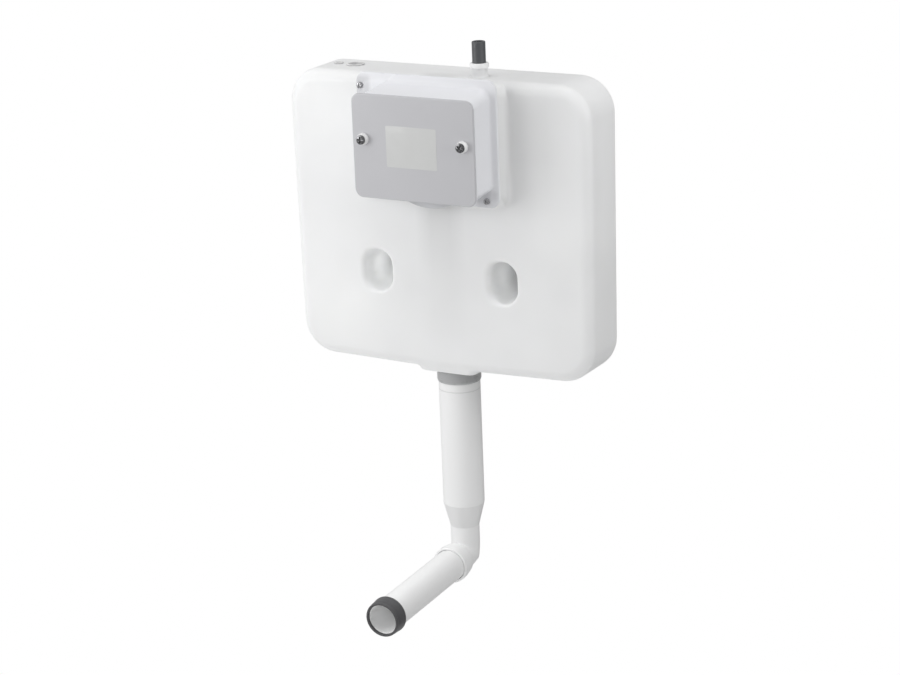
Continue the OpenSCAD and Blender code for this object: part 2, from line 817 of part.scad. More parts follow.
module flush_valve_base() {
    ring_top = tower_foot_z;
    groove_z = tail_foot_z + tail_seal_rise;
    color([0.88, 0.89, 0.9]) at_pipe() difference() {
        union() {
            translate([0, 0, tail_foot_z]) cylinder(r = tail_r, h = tail_l);
            translate([0, 0, valve_flange_z]) cylinder(r = valve_flange_r, h = valve_flange_t);
            translate([0, 0, valve_flange_z]) cylinder(r = seat_ring_r, h = seat_ring_h);
            intersection() {
                for (i = [0 : leg_count - 1])
                    rotate(i * 360 / leg_count) translate([0, -leg_w / 2, valve_flange_z])
                        cube([tower_r, leg_w, ring_top - valve_flange_z]);
                tube_z(tower_r, tower_ring_r, valve_flange_z, ring_top);
            }
            tube_z(tower_r, tower_ring_r, ring_top - tower_ring_h, ring_top);
        }
        translate([0, 0, tail_foot_z - over]) cylinder(r = tail_bore_r, h = tail_l + seat_ring_h + 2 * over);
        tube_z(tail_r + over, tail_r - seal_groove_d, groove_z, groove_z + tail_seal_h);
    }
}

module outlet_washer() {
    color([0.14, 0.14, 0.15]) at_pipe() tube_z(valve_flange_r - over, tail_r + snug_gap, seat_floor_z, valve_flange_z);
}

module outlet_nut() {
    nut_foot = pedestal_z - outlet_nut_h;
    thread_r = tail_r + nut_thread_gap;
    shelf = pedestal_z - nut_thread_h;
    color([0.55, 0.56, 0.57]) at_pipe() rotate_extrude() polygon([
        [thread_r, pedestal_z],
        [outlet_nut_r, pedestal_z],
        [outlet_nut_r, nut_foot + nut_edge],
        [outlet_nut_r - nut_edge, nut_foot],
        [nut_skirt_r, nut_foot],
        [nut_skirt_r, shelf],
        [thread_r, shelf]
    ]);
}

// Four window cuts round the tower
module windows(z, h) {
    for (i = [0 : leg_count - 1])
        rotate(i * 360 / leg_count + 180 / leg_count) translate([0, -window_w / 2, z])
            cube([tower_r + over, window_w, h]);
}

module valve_tower() {
    color([0.82, 0.86, 0.9]) at_pipe() difference() {
        tube_z(tower_r, tower_r - tower_wall, tower_foot_z, actuator_z);
        windows(low_window_z, low_window_h);
        windows(high_window_z, high_window_h);
    }
}

module lift_tube() {
    color([0.35, 0.5, 0.75]) at_pipe() union() {
        tube_z(lift_r, lift_bore_r, plate_foot_z, lift_top_z);
        tube_z(plate_r, lift_bore_r, plate_foot_z, plate_foot_z + plate_t);
        intersection() {
            for (a = [0, 90]) rotate(a) translate([-lift_r, -spider_t / 2, lift_top_z - spider_h]) cube([2 * lift_r, spider_t, spider_h]);
            translate([0, 0, plate_foot_z]) cylinder(r = lift_bore_r + snug_gap, h = lift_top_z - plate_foot_z);
        }
        translate([0, 0, lift_top_z - spider_h]) cylinder(r = stem_r, h = piston_z - lift_top_z + spider_h);
    }
}

module flush_seal() {
    color([0.75, 0.3, 0.2]) at_pipe() tube_z(seal_r, seal_bore_r, seal_foot_z, plate_foot_z);
}

module lift_float() {
    inner_r = lift_r + snug_gap;
    color([0.93, 0.93, 0.92]) at_pipe() translate([0, 0, lift_float_z]) rotate_extrude() polygon([
        [inner_r, 0],
        [inner_r + lift_float_wall, 0],
        [inner_r + lift_float_wall, lift_float_h - lift_float_wall],
        [lift_float_r - lift_float_wall, lift_float_h - lift_float_wall],
        [lift_float_r - lift_float_wall, 0],
        [lift_float_r, 0],
        [lift_float_r, lift_float_h],
        [inner_r, lift_float_h]
    ]);
}

module actuator_body() {
    bore = actuator_r - actuator_wall;
    color([0.9, 0.9, 0.91]) at_pipe() difference() {
        union() {
            translate([0, 0, actuator_z]) cylinder(r = lug_r, h = actuator_floor_t);
            translate([0, 0, actuator_z]) cylinder(r = actuator_r, h = actuator_h);
            for (s = [-1, 1]) translate([s * nipple_spacing / 2, 0, actuator_top_z]) cylinder(r = nipple_r, h = nipple_l);
        }
        translate([0, 0, actuator_z + actuator_floor_t])
            cylinder(r = bore, h = actuator_h - actuator_floor_t - actuator_wall);
        translate([0, 0, actuator_z - over]) cylinder(r = stem_r + free_gap, h = actuator_floor_t + 2 * over);
        for (s = [-1, 1])
            translate([s * nipple_spacing / 2, 0, actuator_top_z - actuator_wall - over])
                cylinder(r = nipple_bore_r, h = actuator_wall + nipple_l + 2 * over);
    }
}

module actuator_piston() {
    color([0.2, 0.2, 0.21]) at_pipe() translate([0, 0, piston_z]) cylinder(r = piston_r, h = piston_h);
}

module tail_seal() {
    groove_z = tail_foot_z + tail_seal_rise;
    color([0.12, 0.12, 0.13]) at_pipe()
        tube_z(bend_bore_r - free_gap, tail_r - seal_groove_d + snug_gap, groove_z + snug_gap, groove_z + tail_seal_h - snug_gap);
}

// Outside of the upright part of the flush bend
module bend_outside() {
    rotate_extrude() polygon([
        [0, bend_top_z],
        [wide_r, bend_top_z],
        [wide_r, ring_z],
        [wide_r - ring_depth, ring_z],
        [wide_r - ring_depth, ring_z - ring_w],
        [wide_r, ring_z - ring_w],
        [wide_r, -taper_top_z],
        [narrow_r, -taper_foot_z],
        [narrow_r, elbow_z - over],
        [0, elbow_z - over]
    ]);
}

// Bore of the upright part of the flush bend
module bend_inside() {
    rotate_extrude() polygon([
        [0, bend_top_z + over],
        [bend_bore_r, bend_top_z + over],
        [bend_bore_r, -taper_top_z],
        [narrow_bore_r, -taper_foot_z],
        [narrow_bore_r, elbow_z - over],
        [0, elbow_z - over]
    ]);
}

// Places a child on the axis of the falling flush tube, with the end of the elbow at its origin
module at_tube() {
    translate([0, tube_start_y, tube_start_z]) rotate([pipe_fall, 0, 0]) children();
}

// The elbow from the upright pipe to the falling flush tube
module elbow_ring(r) {
    translate([0, -elbow_r, elbow_z]) rotate([0, -90, 0]) rotate([0, 0, 90])
        rotate_extrude(angle = 90 - pipe_fall) translate([elbow_r, 0]) circle(r);
}

// Outline of the socket turned about the tube axis, with a ring round its mouth
module socket_outside() {
    ring_back = socket_l - socket_ring_w;
    rotate([90, 0, 0]) rotate_extrude() polygon([
        [0, -over],
        [narrow_r, -over],
        [narrow_r, socket_lead],
        [socket_r, socket_taper],
        [socket_r, ring_back],
        [socket_ring_r, ring_back],
        [socket_ring_r, socket_l],
        [0, socket_l]
    ]);
}

module flush_bend() {
    seal_back = socket_mouth_y + socket_seal_back + socket_seal_w;
    color([0.94, 0.94, 0.94]) difference() {
        union() {
            at_pipe() bend_outside();
            at_pipe() elbow_ring(narrow_r + elbow_step);
            at_tube() socket_outside();
        }
        at_pipe() bend_inside();
        at_pipe() elbow_ring(narrow_bore_r + elbow_step);
        at_tube() {
            bar_y(narrow_bore_r, over, socket_l);
            bar_y(tube_r + tube_fit, tube_back_y + over, tube_insert + 2 * over);
            bar_y(tube_r + socket_seal_h, seal_back, socket_seal_w);
        }
    }
}

module socket_seal() {
    seal_back = socket_mouth_y + socket_seal_back + socket_seal_w - snug_gap;
    color([0.12, 0.12, 0.13]) at_tube() difference() {
        bar_y(tube_r + socket_seal_h - snug_gap, seal_back, socket_seal_w - 2 * snug_gap);
        bar_y(tube_r + free_gap, seal_back + over, socket_seal_w + 2 * over);
    }
}

module flush_tube() {
    color([0.94, 0.94, 0.94]) at_tube() difference() {
        bar_y(tube_r, tube_back_y, tube_back_y - tube_front_y);
        bar_y(tube_r - tube_wall, tube_back_y + over, tube_back_y - tube_front_y + 2 * over);
    }
}

module flush_cone() {
    bore = tube_r + snug_gap;
    lip_bore = tube_r - cone_lip_in;
    mid_r = cone_r - cone_lip_step;
    color([0.33, 0.33, 0.34]) at_tube() translate([0, cone_front_y, 0]) rotate([-90, 0, 0]) rotate_extrude() polygon([
        [lip_bore, 0],
        [mid_r, 0],
        [cone_r, cone_lip_step],
        [cone_r, cone_l - cone_lip_w],
        [cone_r + cone_lip_step, cone_l - cone_lip_w + cone_lip_step],
        [cone_r + cone_lip_step, cone_l],
        [bore, cone_l],
        [bore, cone_overhang - snug_gap],
        [lip_bore, cone_overhang - snug_gap]
    ]);
}

// A rubber grommet in a hose hole of the tank top
module grommet(r) {
    color([0.1, 0.1, 0.11]) rotate_extrude() polygon([
        [r - grommet_rim, ceiling_z - grommet_under_gap - grommet_flange],
        [r + grommet_rim, ceiling_z - grommet_under_gap - grommet_flange],
        [r + grommet_rim, ceiling_z - grommet_under_gap],
        [r - snug_gap, ceiling_z - grommet_under_gap],
        [r - snug_gap, tank_top_z],
        [r + grommet_rim, tank_top_z],
        [r + grommet_rim - grommet_flange / 2, tank_top_z + grommet_flange],
        [r - grommet_rim, tank_top_z + grommet_flange]
    ]);
}

module hose_grommet_small() {
    at_hose(small_hose_x) grommet(small_hose_r);
}

module hose_grommet_large() {
    at_hose(large_hose_x) grommet(large_hose_r);
}

tank_shell();
housing_gasket();
access_housing();
housing_screws();
access_cover();
cover_bushes();
cover_screws();
inlet_tail();
inlet_nut();
inlet_washer();
fill_valve_body();
fill_plunger();
plunger_washer();
lever_pin();
float_lever();
float_rod();
float_cup();
flush_valve_base();
outlet_washer();
outlet_nut();
valve_tower();
lift_tube();
flush_seal();
lift_float();
actuator_body();
actuator_piston();
tail_seal();
flush_bend();
socket_seal();
flush_tube();
flush_cone();
hose_grommet_small();
hose_grommet_large();
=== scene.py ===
"""Looks of a slimline concealed toilet cistern: blown tank, access box, flush bend, tube and cone.

Metres, +Z up, -Y to the front. The origin is the middle of the wall fixings on the tank's back.
"""

import math
from itertools import product

import bmesh
import bpy
import numpy as np
from mathutils import Matrix, Vector


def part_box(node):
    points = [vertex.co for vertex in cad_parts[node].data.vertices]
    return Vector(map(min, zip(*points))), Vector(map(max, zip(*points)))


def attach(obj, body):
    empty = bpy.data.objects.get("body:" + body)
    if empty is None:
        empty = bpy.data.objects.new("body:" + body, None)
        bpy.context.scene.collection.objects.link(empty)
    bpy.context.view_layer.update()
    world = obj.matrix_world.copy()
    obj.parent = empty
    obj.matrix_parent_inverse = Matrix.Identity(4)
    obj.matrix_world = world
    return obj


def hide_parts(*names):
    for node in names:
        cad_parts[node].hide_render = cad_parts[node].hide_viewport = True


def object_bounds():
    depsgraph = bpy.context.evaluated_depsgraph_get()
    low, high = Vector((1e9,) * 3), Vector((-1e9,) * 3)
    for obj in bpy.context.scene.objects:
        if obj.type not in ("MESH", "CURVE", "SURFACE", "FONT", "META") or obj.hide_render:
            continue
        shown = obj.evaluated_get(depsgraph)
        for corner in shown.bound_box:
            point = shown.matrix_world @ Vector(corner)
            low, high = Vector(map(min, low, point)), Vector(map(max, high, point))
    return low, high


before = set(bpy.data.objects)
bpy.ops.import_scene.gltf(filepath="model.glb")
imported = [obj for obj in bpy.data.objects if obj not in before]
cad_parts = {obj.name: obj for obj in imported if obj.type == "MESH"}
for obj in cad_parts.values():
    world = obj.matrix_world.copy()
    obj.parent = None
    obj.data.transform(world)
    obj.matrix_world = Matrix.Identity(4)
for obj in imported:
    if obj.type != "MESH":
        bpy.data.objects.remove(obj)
cad_low, cad_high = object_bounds()

MM = 0.001
UPWARDS = (0, 0, 1)
FORWARDS = (0, -1, 0)

# Camera of the photograph
CAMERA_AZIMUTH = math.radians(29.31)
CAMERA_ELEVATION = math.radians(16.86)
CAMERA_ROLL = math.radians(2.25)
CAMERA_DISTANCE = 3.573
CAMERA_TARGET = Vector((-0.01235, -0.0435, -0.09846))
CAMERA_FOCAL_PIXELS = 2616.2
IMAGE_W = 900
SENSOR_W = 36.0

# Axes and planes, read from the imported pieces
cover_low, cover_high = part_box("access_cover")
bush_low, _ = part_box("cover_bushes")
_, bend_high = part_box("flush_bend")
nut_low, nut_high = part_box("outlet_nut")
tail_low, tail_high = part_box("inlet_tail")
collar_low, collar_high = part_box("inlet_nut")
pipe_y = (nut_low.y + nut_high.y) / 2
inlet_x = (tail_low.x + tail_high.x) / 2
inlet_y = (tail_low.y + tail_high.y) / 2

# Flush bend
WIDE_R = 28.6 * MM
NARROW_R = 20 * MM
PIPE_WALL = 2.5 * MM
GROOVE_Z = -166.7 * MM
GROOVE_W = 1.6 * MM
TAPER_TOP = -334 * MM
TAPER_FOOT = -368 * MM

# Screws, fixings and hose holes
COVER_SCREW_X = 74 * MM
COVER_SCREW_Z = 196 * MM
COVER_SPOTS = [(side * COVER_SCREW_X, COVER_SCREW_Z) for side in (-1, 1)]
HOUSING_SPOTS = [(-98.7 * MM, 258.7 * MM), (86.3 * MM, 116 * MM)]
FIXING_X = 95 * MM
HOSE_Y = -38.5 * MM
SMALL_HOSE_X, SMALL_HOSE_R = -171 * MM, 5 * MM
LARGE_HOSE_X, LARGE_HOSE_R = -144.5 * MM, 11 * MM

# Access box and cover
COVER_Z = 186.5 * MM
COVER_HALF_W = 90.5 * MM
COVER_HALF_H = 70 * MM
BOX_RIM_Y = -140.5 * MM
FLANGE_Y = -106.5 * MM
FLANGE_BACK_Y = -102.5 * MM

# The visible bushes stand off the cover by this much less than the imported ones
BUSH_LESS = 3.5 * MM

# Elbow and the falling flush tube: distances along the tube count from the socket's back
FALL = math.radians(2.5)
ELBOW_R = 20.6 * MM
CROSSING_Z = -411.01 * MM
CONE_REACH = 211.8 * MM
elbow_turn = math.pi / 2 - FALL
tangent = ELBOW_R * math.tan(elbow_turn / 2)
elbow_z = tangent + CROSSING_Z
along_tube = Vector((0, -math.cos(FALL), -math.sin(FALL)))
socket_back = Vector((0, -68.37, -412.1)) * MM


# Plain mesh helpers

SQUARE = ((-1, -1), (1, -1), (1, 1), (-1, 1))


def in_scene(name, data):
    made = bpy.data.objects.new(name, data)
    bpy.context.scene.collection.objects.link(made)
    return made


def new_object(name, vertices, faces, material):
    mesh = bpy.data.meshes.new(name)
    mesh.from_pydata([tuple(v) for v in vertices], [], [tuple(f) for f in faces])
    mesh.polygons.foreach_set("use_smooth", [True] * len(mesh.polygons))
    mesh.materials.append(material)
    mesh.update()
    return in_scene(name, mesh)


def round_corners(points, radius=0.3 * MM, steps=4, support=0.35 * MM):
    """A closed outline with its corners turned to arcs; a point's third value is its own radius."""
    outline = []
    count = len(points)
    for i in range(count):
        here = np.array(points[i][:2], float)
        before = np.array(points[i - 1][:2], float)
        after = np.array(points[(i + 1) % count][:2], float)
        r = points[i][2] if len(points[i]) > 2 else radius
        back = before - here
        ahead = after - here
        back_l = np.linalg.norm(back)
        ahead_l = np.linalg.norm(ahead)
        back /= back_l
        ahead /= ahead_l
        angle = math.acos(max(-1.0, min(1.0, float(back @ ahead))))
        if r <= 0 or abs(math.pi - angle) < 0.05:
            outline.append(here)
            continue
        cut = min(r / math.tan(angle / 2), 0.45 * back_l, 0.45 * ahead_l)
        r = cut * math.tan(angle / 2)
        centre = here + (back + ahead) / np.linalg.norm(back + ahead) * (r / math.sin(angle / 2))
        start = here + back * cut
        end = here + ahead * cut
        room = min(support, 0.3 * back_l, 0.3 * ahead_l)
        outline.append(start + back * room)
        first = start - centre
        last = end - centre
        turn = math.atan2(first[0] * last[1] - first[1] * last[0], float(first @ last))
        for k in range(steps + 1):
            a = turn * k / steps
            c, s = math.cos(a), math.sin(a)
            outline.append(centre + np.array([c * first[0] - s * first[1], s * first[0] + c * first[1]]))
        outline.append(end + ahead * room)
    return outline


def subdivided(outline, longest):
    """The closed outline with points added where a stretch is longer than longest."""
    fine = []
    for i, here in enumerate(outline):
        after = outline[(i + 1) % len(outline)]
        pieces = max(1, math.ceil(np.linalg.norm(after - here) / longest))
        fine += [here + (after - here) * k / pieces for k in range(pieces)]
    return fine


def in_mm(points):
    return [tuple(value * MM for value in point) for point in points]


def straight(origin, direction):
    """A straight path: distance along it to a point and two cross directions."""
    origin = Vector(origin)
    direction = Vector(direction).normalized()
    side = Vector((1, 0, 0)) if abs(direction.x) < 0.9 else Vector((0, 1, 0))
    other = direction.cross(side).normalized()
    side = other.cross(direction).normalized()
    return lambda s: (origin + direction * s, side, other)


def turned(name, outline, path, material, sides=96):
    """A closed outline of (radius, distance) points turned round a path."""
    rings = []
    vertices = []
    for radius, distance in outline:
        radius = float(radius)
        centre, side, other = path(float(distance))
        if radius < 1e-7:
            rings.append([len(vertices)] * sides)
            vertices.append(centre)
            continue
        rings.append(list(range(len(vertices), len(vertices) + sides)))
        for k in range(sides):
            a = 2 * math.pi * k / sides
            vertices.append(centre + radius * (math.cos(a) * side + math.sin(a) * other))
    faces = []
    for i, ring in enumerate(rings):
        after = rings[(i + 1) % len(rings)]
        for k in range(sides):
            n = (k + 1) % sides
            corners = [ring[k], ring[n], after[n], after[k]]
            corners = [c for j, c in enumerate(corners) if c != corners[j - 1]]
            if len(corners) > 2:
                faces.append(corners)
    piece = new_object(name, vertices, faces, material)
    point_outwards(piece)
    return piece


def point_outwards(piece):
    """Recalculates the normals of a closed mesh so that they point out."""
    shape = bmesh.new()
    shape.from_mesh(piece.data)
    bmesh.ops.recalc_face_normals(shape, faces=shape.faces)
    if shape.calc_volume(signed=True) < 0:
        bmesh.ops.reverse_faces(shape, faces=shape.faces)
    shape.to_mesh(piece.data)
    shape.free()


def joined(name, pieces):
    """Several meshes made one object."""
    vertices = []
    faces = []
    for piece in pieces:
        start = len(vertices)
        vertices += [v.co.copy() for v in piece.data.vertices]
        faces += [[start + i for i in face.vertices] for face in piece.data.polygons]
    material = pieces[0].data.materials[0]
    for piece in pieces:
        bpy.data.objects.remove(piece)
    return new_object(name, vertices, faces, material)


# Distance fields, for moulded forms with soft edges

SETTLE_ROUNDS = 4


def soft_min(a, b, k):
    h = np.maximum(k - np.abs(a - b), 0) / k
    return np.minimum(a, b) - h * h * k / 4


def soft_max(a, b, k):
    return -soft_min(-a, -b, k)


def cut_by(shell, *cuts):
    """The shell with the cuts' insides taken away."""
    for cut in cuts:
        shell = np.maximum(shell, -cut)
    return shell


def ramp(value, low, high):
    t = np.clip((value - low) / (high - low), 0, 1)
    return t * t * (3 - 2 * t)


def rect_distance(u, v, half_u, half_v, r):
    """Distance to a rectangle with round corners in a plane."""
    du = np.abs(u) - half_u + r
    dv = np.abs(v) - half_v + r
    return np.hypot(np.maximum(du, 0), np.maximum(dv, 0)) + np.minimum(np.maximum(du, dv), 0) - r


def slab_distance(flat, y, y_low, y_high, edge):
    """The flat outline drawn out between two planes, with rounded edges."""
    across = flat + edge
    along = np.abs(y - (y_low + y_high) / 2) - (y_high - y_low) / 2 + edge
    outside = np.hypot(np.maximum(across, 0), np.maximum(along, 0))
    return np.minimum(np.maximum(across, along), 0) + outside - edge


def slope_of(field, points, reach):
    slopes = np.empty_like(points)
    for axis in range(3):
        step = np.zeros(3)
        step[axis] = reach
        slopes[:, axis] = (field(points + step) - field(points - step)) / (2 * reach)
    return slopes


def field_mesh(name, field, low, high, step, material, keep=1.0):
    """A surface net over a distance field, its points then settled on the surface."""
    step = np.full(3, step)
    low = np.array(low, float)
    counts = [int(math.ceil((h - l) / s)) + 1 for l, h, s in zip(low, high, step)]
    axes = [low[i] + step[i] * np.arange(counts[i]) for i in range(3)]
    values = np.empty(counts)
    for i, x in enumerate(axes[0]):
        y, z = np.meshgrid(axes[1], axes[2], indexing="ij")
        spots = np.stack([np.full(y.size, x), y.ravel(), z.ravel()], 1)
        values[i] = field(spots).reshape(y.shape)
    inside = values < 0
    cells = [n - 1 for n in counts]
    corner = {}
    for d in product((0, 1), repeat=3):
        corner[d] = tuple(slice(d[a], cells[a] + d[a]) for a in range(3))
    total = sum(inside[corner[d]].astype(int) for d in corner)
    mixed = (total > 0) & (total < 8)
    number = np.full(mixed.shape, -1)
    number[mixed] = np.arange(mixed.sum())
    places = np.zeros((*cells, 3))
    hits = np.zeros(cells)
    for d, axis in product(corner, range(3)):
        if d[axis]:
            continue
        e = tuple(1 if a == axis else d[a] for a in range(3))
        start = values[corner[d]]
        end = values[corner[e]]
        crossed = (start < 0) != (end < 0)
        share = np.where(crossed, start / np.where(crossed, start - end, 1), 0)
        for a in range(3):
            places[..., a] += np.where(crossed, d[a] + (share if a == axis else 0), 0)
        hits += crossed
    cell_at = np.argwhere(mixed)
    points = low + (cell_at + places[mixed] / hits[mixed][:, None]) * step
    for _ in range(SETTLE_ROUNDS):
        slopes = slope_of(field, points, step.min() * 0.05)
        size = np.maximum((slopes**2).sum(1), 0.25)
        move = -field(points)[:, None] * slopes / size[:, None]
        points += np.clip(move, -0.4 * step, 0.4 * step)
    quads = []
    for axis in range(3):
        b, c = [(1, 2), (2, 0), (0, 1)][axis]
        first = [slice(1, cells[a]) for a in range(3)]
        second = list(first)
        first[axis] = slice(0, cells[axis])
        second[axis] = slice(1, cells[axis] + 1)
        start = inside[tuple(first)]
        end = inside[tuple(second)]
        for sign, change in ((1, start & ~end), (-1, ~start & end)):
            at = np.argwhere(change)
            at += [0 if a == axis else 1 for a in range(3)]
            ring = []
            for db, dc in ((0, 0), (-1, 0), (-1, -1), (0, -1)):
                cell = at.copy()
                cell[:, b] += db
                cell[:, c] += dc
                ring.append(number[cell[:, 0], cell[:, 1], cell[:, 2]])
            quad = np.stack(ring, 1)
            quads.append(quad if sign > 0 else quad[:, ::-1])
    piece = new_object(name, points, np.concatenate(quads), material)
    if keep < 1:
        piece.modifiers.new("fewer_triangles", "DECIMATE").ratio = keep
        settle_modifiers(piece)
    places = np.array([v.co for v in piece.data.vertices])
    slopes = slope_of(field, places, step.min() * 0.2)
    slopes /= np.maximum(np.linalg.norm(slopes, axis=1), 1e-9)[:, None]
    piece.data.normals_split_custom_set_from_vertices([tuple(n) for n in slopes])
    return piece


def field_piece(name, field, box, margin, steps, keep, material):
    low, high = box
    room = Vector((margin,) * 3)
    step, keep = ((steps[1], keep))
    return field_mesh(name, field, low - room, high + room, step, material, keep)


def settle_modifiers(piece):
    """Applies a piece's modifiers to its mesh."""
    graph = bpy.context.evaluated_depsgraph_get()
    made = bpy.data.meshes.new_from_object(piece.evaluated_get(graph))
    old = piece.data
    piece.modifiers.clear()
    piece.data = made
    made.name = piece.name
    bpy.data.meshes.remove(old)


# Materials

RANGE_SOCKETS = ("From Min", "From Max", "To Min", "To Max")
PLASTIC_IOR = 1.5
PURE_WHITE = (1, 1, 1, 1)


class Finish:
    """A node material built round one Principled shader."""

    def __init__(self, name, colour, roughness):
        self.material = bpy.data.materials.new(name)
        self.material.use_nodes = True
        self.nodes = self.material.node_tree.nodes
        self.links = self.material.node_tree.links
        self.shader = self.nodes["Principled BSDF"]
        self.put("Base Color", (*colour, 1))
        self.put("Roughness", roughness)
        self.colour = colour
        self.place = self.nodes.new("ShaderNodeTexCoord").outputs["Object"]

    def put(self, socket, value):
        self.shader.inputs[socket].default_value = value

    def node(self, kind, **values):
        made = self.nodes.new("ShaderNode" + kind)
        for key, value in values.items():
            setattr(made, key, value)
        return made

    def noise(self, scale, detail=3.0):
        noise = self.node("TexNoise")
        noise.inputs["Scale"].default_value = scale
        noise.inputs["Detail"].default_value = detail
        self.links.new(self.place, noise.inputs["Vector"])
        return noise.outputs["Fac"]

    def fit(self, value, low, high, to_low=0.0, to_high=1.0):
        fit = self.node("MapRange")
        for socket, number in zip(RANGE_SOCKETS, (low, high, to_low, to_high)):
            fit.inputs[socket].default_value = number
        self.links.new(value, fit.inputs["Value"])
        return fit.outputs["Result"]

    def math(self, operation, a, b=None):
        made = self.node("Math", operation=operation)
        for i, value in enumerate((a, b)):
            if isinstance(value, (int, float)):
                made.inputs[i].default_value = value
            elif value is not None:
                self.links.new(value, made.inputs[i])
        return made.outputs[0]

    def both(self, *masks):
        """The product of the masks."""
        product_so_far = masks[0]
        for mask in masks[1:]:
            product_so_far = self.math("MULTIPLY", product_so_far, mask)
        return product_so_far

    def axis(self, letter):
        split = self.node("SeparateXYZ")
        self.links.new(self.place, split.inputs[0])
        return split.outputs[letter]

    def band(self, value, centre, half, soft):
        """1 near the centre, falling to 0 at half plus soft on both sides."""
        away = self.math("ABSOLUTE", self.math("SUBTRACT", value, centre))
        return self.fit(away, half, half + soft, 1.0, 0.0)

    def tint(self, mask, colour):
        """Mixes the colour in where the mask is 1."""
        mix = self.node("Mix", data_type="RGBA")
        before = self.shader.inputs["Base Color"]
        if before.links:
            self.links.new(before.links[0].from_socket, mix.inputs["A"])
        else:
            mix.inputs["A"].default_value = (*self.colour, 1)
        mix.inputs["B"].default_value = (*colour, 1)
        self.links.new(mask, mix.inputs["Factor"])
        self.links.new(mix.outputs["Result"], before)

    def vary_roughness(self, value, low, high):
        self.links.new(self.fit(value, 0.3, 0.7, low, high), self.shader.inputs["Roughness"])

    def gloss(self, weight, roughness):
        """A clear shine over the plastic."""
        self.put("Coat Weight", weight)
        self.put("Coat Roughness", roughness)

    def relief(self, height, depth):
        """Adds a bump of the given depth in metres."""
        bump = self.node("Bump")
        bump.inputs["Strength"].default_value = 1.0
        bump.inputs["Distance"].default_value = depth
        self.links.new(height, bump.inputs["Height"])
        normal = self.shader.inputs["Normal"]
        if normal.links:
            self.links.new(normal.links[0].from_socket, bump.inputs["Normal"])
        self.links.new(bump.outputs["Normal"], normal)


def darker(colour, share):
    return tuple(c * share for c in colour)


def blown_tank():
    """Blow-moulded white polyethylene: milky, soft sheen, faint clouds, painted shade on the neck's sides
    and painted shadows of the valve tower and the box.
    """
    white = (0.845, 0.85, 0.85)
    f = Finish("blown_white_polyethylene", white, 0.42)
    f.put("Subsurface Weight", 0.25)
    f.put("Subsurface Radius", (12 * MM, 12 * MM, 11 * MM))
    f.put("Subsurface Scale", 1.0)
    f.put("IOR", PLASTIC_IOR)
    f.tint(f.fit(f.noise(7, 2), 0.35, 0.75), darker(white, 0.93))
    # Painted shade on the sides of the neck.
    neck_sides_painted_shade = f.fit(f.math("ABSOLUTE", f.axis("X")), 102 * MM, 104 * MM)
    before_face = f.fit(f.axis("Y"), -87.5 * MM, -89.5 * MM)
    f.tint(f.both(neck_sides_painted_shade, before_face), darker(white, 0.84))
    # Painted shadow of the valve tower inside, seen through the milky wall as a darker band down the
    # front, fading towards the foot.
    middle = f.band(f.axis("X"), 4 * MM, 14 * MM, 24 * MM)
    fading_down = f.fit(f.axis("Z"), 90 * MM, 0.0, 1.0, 0.3)
    above_foot = f.fit(f.axis("Z"), -100 * MM, 0.0)
    front = f.fit(f.axis("Y"), -50 * MM, -70 * MM)
    f.tint(f.both(middle, fading_down, above_foot, front), darker(white, 0.82))
    # Painted shadow of the box on the upper front, to the right of the neck.
    box_shadow_beside_neck = f.band(f.axis("X"), 135 * MM, 30 * MM, 70 * MM)
    upper_half = f.fit(f.axis("Z"), 90 * MM, 170 * MM)
    f.tint(f.both(box_shadow_beside_neck, upper_half, 0.9), darker(white, 0.85))
    f.vary_roughness(f.noise(40, 3), 0.36, 0.52)
    f.relief(f.noise(14, 2), 0.9 * MM)
    f.relief(f.noise(420, 2), 0.02 * MM)
    return f.material


def moulded(name, colour, roughness, grain=0.03 * MM, grain_scale=900, cloud=0.95, gloss=0.0):
    """Injection-moulded plastic with a fine grain and slight clouds."""
    f = Finish(name, colour, roughness)
    f.put("IOR", PLASTIC_IOR)
    f.tint(f.fit(f.noise(18, 2), 0.35, 0.7, 0.0, 0.6), darker(colour, cloud))
    f.vary_roughness(f.noise(60, 3), roughness * 0.88, roughness * 1.15)
    f.relief(f.noise(grain_scale, 2), grain)
    f.gloss(gloss, 0.3)
    return f.material


def pipe_plastic():
    """White moulded pipe plastic with fine specks, darker on the taper, and painted shade in the groove.
    """
    white = (0.88, 0.882, 0.882)
    f = Finish("pipe_white_plastic", white, 0.28)
    f.put("IOR", PLASTIC_IOR)
    # Darker on the taper.
    taper = f.band(f.axis("Z"), (TAPER_TOP + TAPER_FOOT) / 2, 16.5 * MM, 0.6 * MM)
    f.tint(f.both(taper, 0.8), darker(white, 0.88))
    # Painted shade: a dark line in the groove.
    groove = f.band(f.axis("Z"), GROOVE_Z - GROOVE_W / 2, 0.4 * MM, 0.3 * MM)
    f.tint(groove, darker(white, 0.82))
    f.tint(f.fit(f.noise(240, 3), 0.6, 0.8, 0.0, 0.35), darker(white, 0.94))
    return f.material


def box_plastic():
    """The access box: satin white with a lavender cast, with a painted shadow on the lobe under the box
    and painted shade in the screw corners.
    """
    white = (0.735, 0.74, 0.765)
    f = Finish("box_white_plastic", white, 0.36)
    f.put("IOR", PLASTIC_IOR)
    # Painted shadow on the lobe below the flange, under the box.
    painted_shadow_below_flange = f.fit(f.axis("Z"), 108.5 * MM, 106.5 * MM)
    f.tint(f.both(painted_shadow_below_flange, f.band(f.axis("X"), 0, 50 * MM, 10 * MM)), darker(white, 0.62))
    # Painted shade in the flange's screw corners, beside and under the box.
    for x, z in HOUSING_SPOTS:
        across = f.band(f.axis("X"), x, 12 * MM, 6 * MM)
        up = f.band(f.axis("Z"), z, 10 * MM, 6 * MM)
        flange_face = f.fit(f.axis("Y"), -108.5 * MM, -107.2 * MM)
        f.tint(f.both(across, up, flange_face), darker(white, 0.78))
    f.tint(f.fit(f.noise(18, 2), 0.35, 0.7, 0.0, 0.6), darker(white, 0.97))
    f.vary_roughness(f.noise(60, 3), 0.32, 0.42)
    f.relief(f.noise(900, 2), 0.03 * MM)
    return f.material


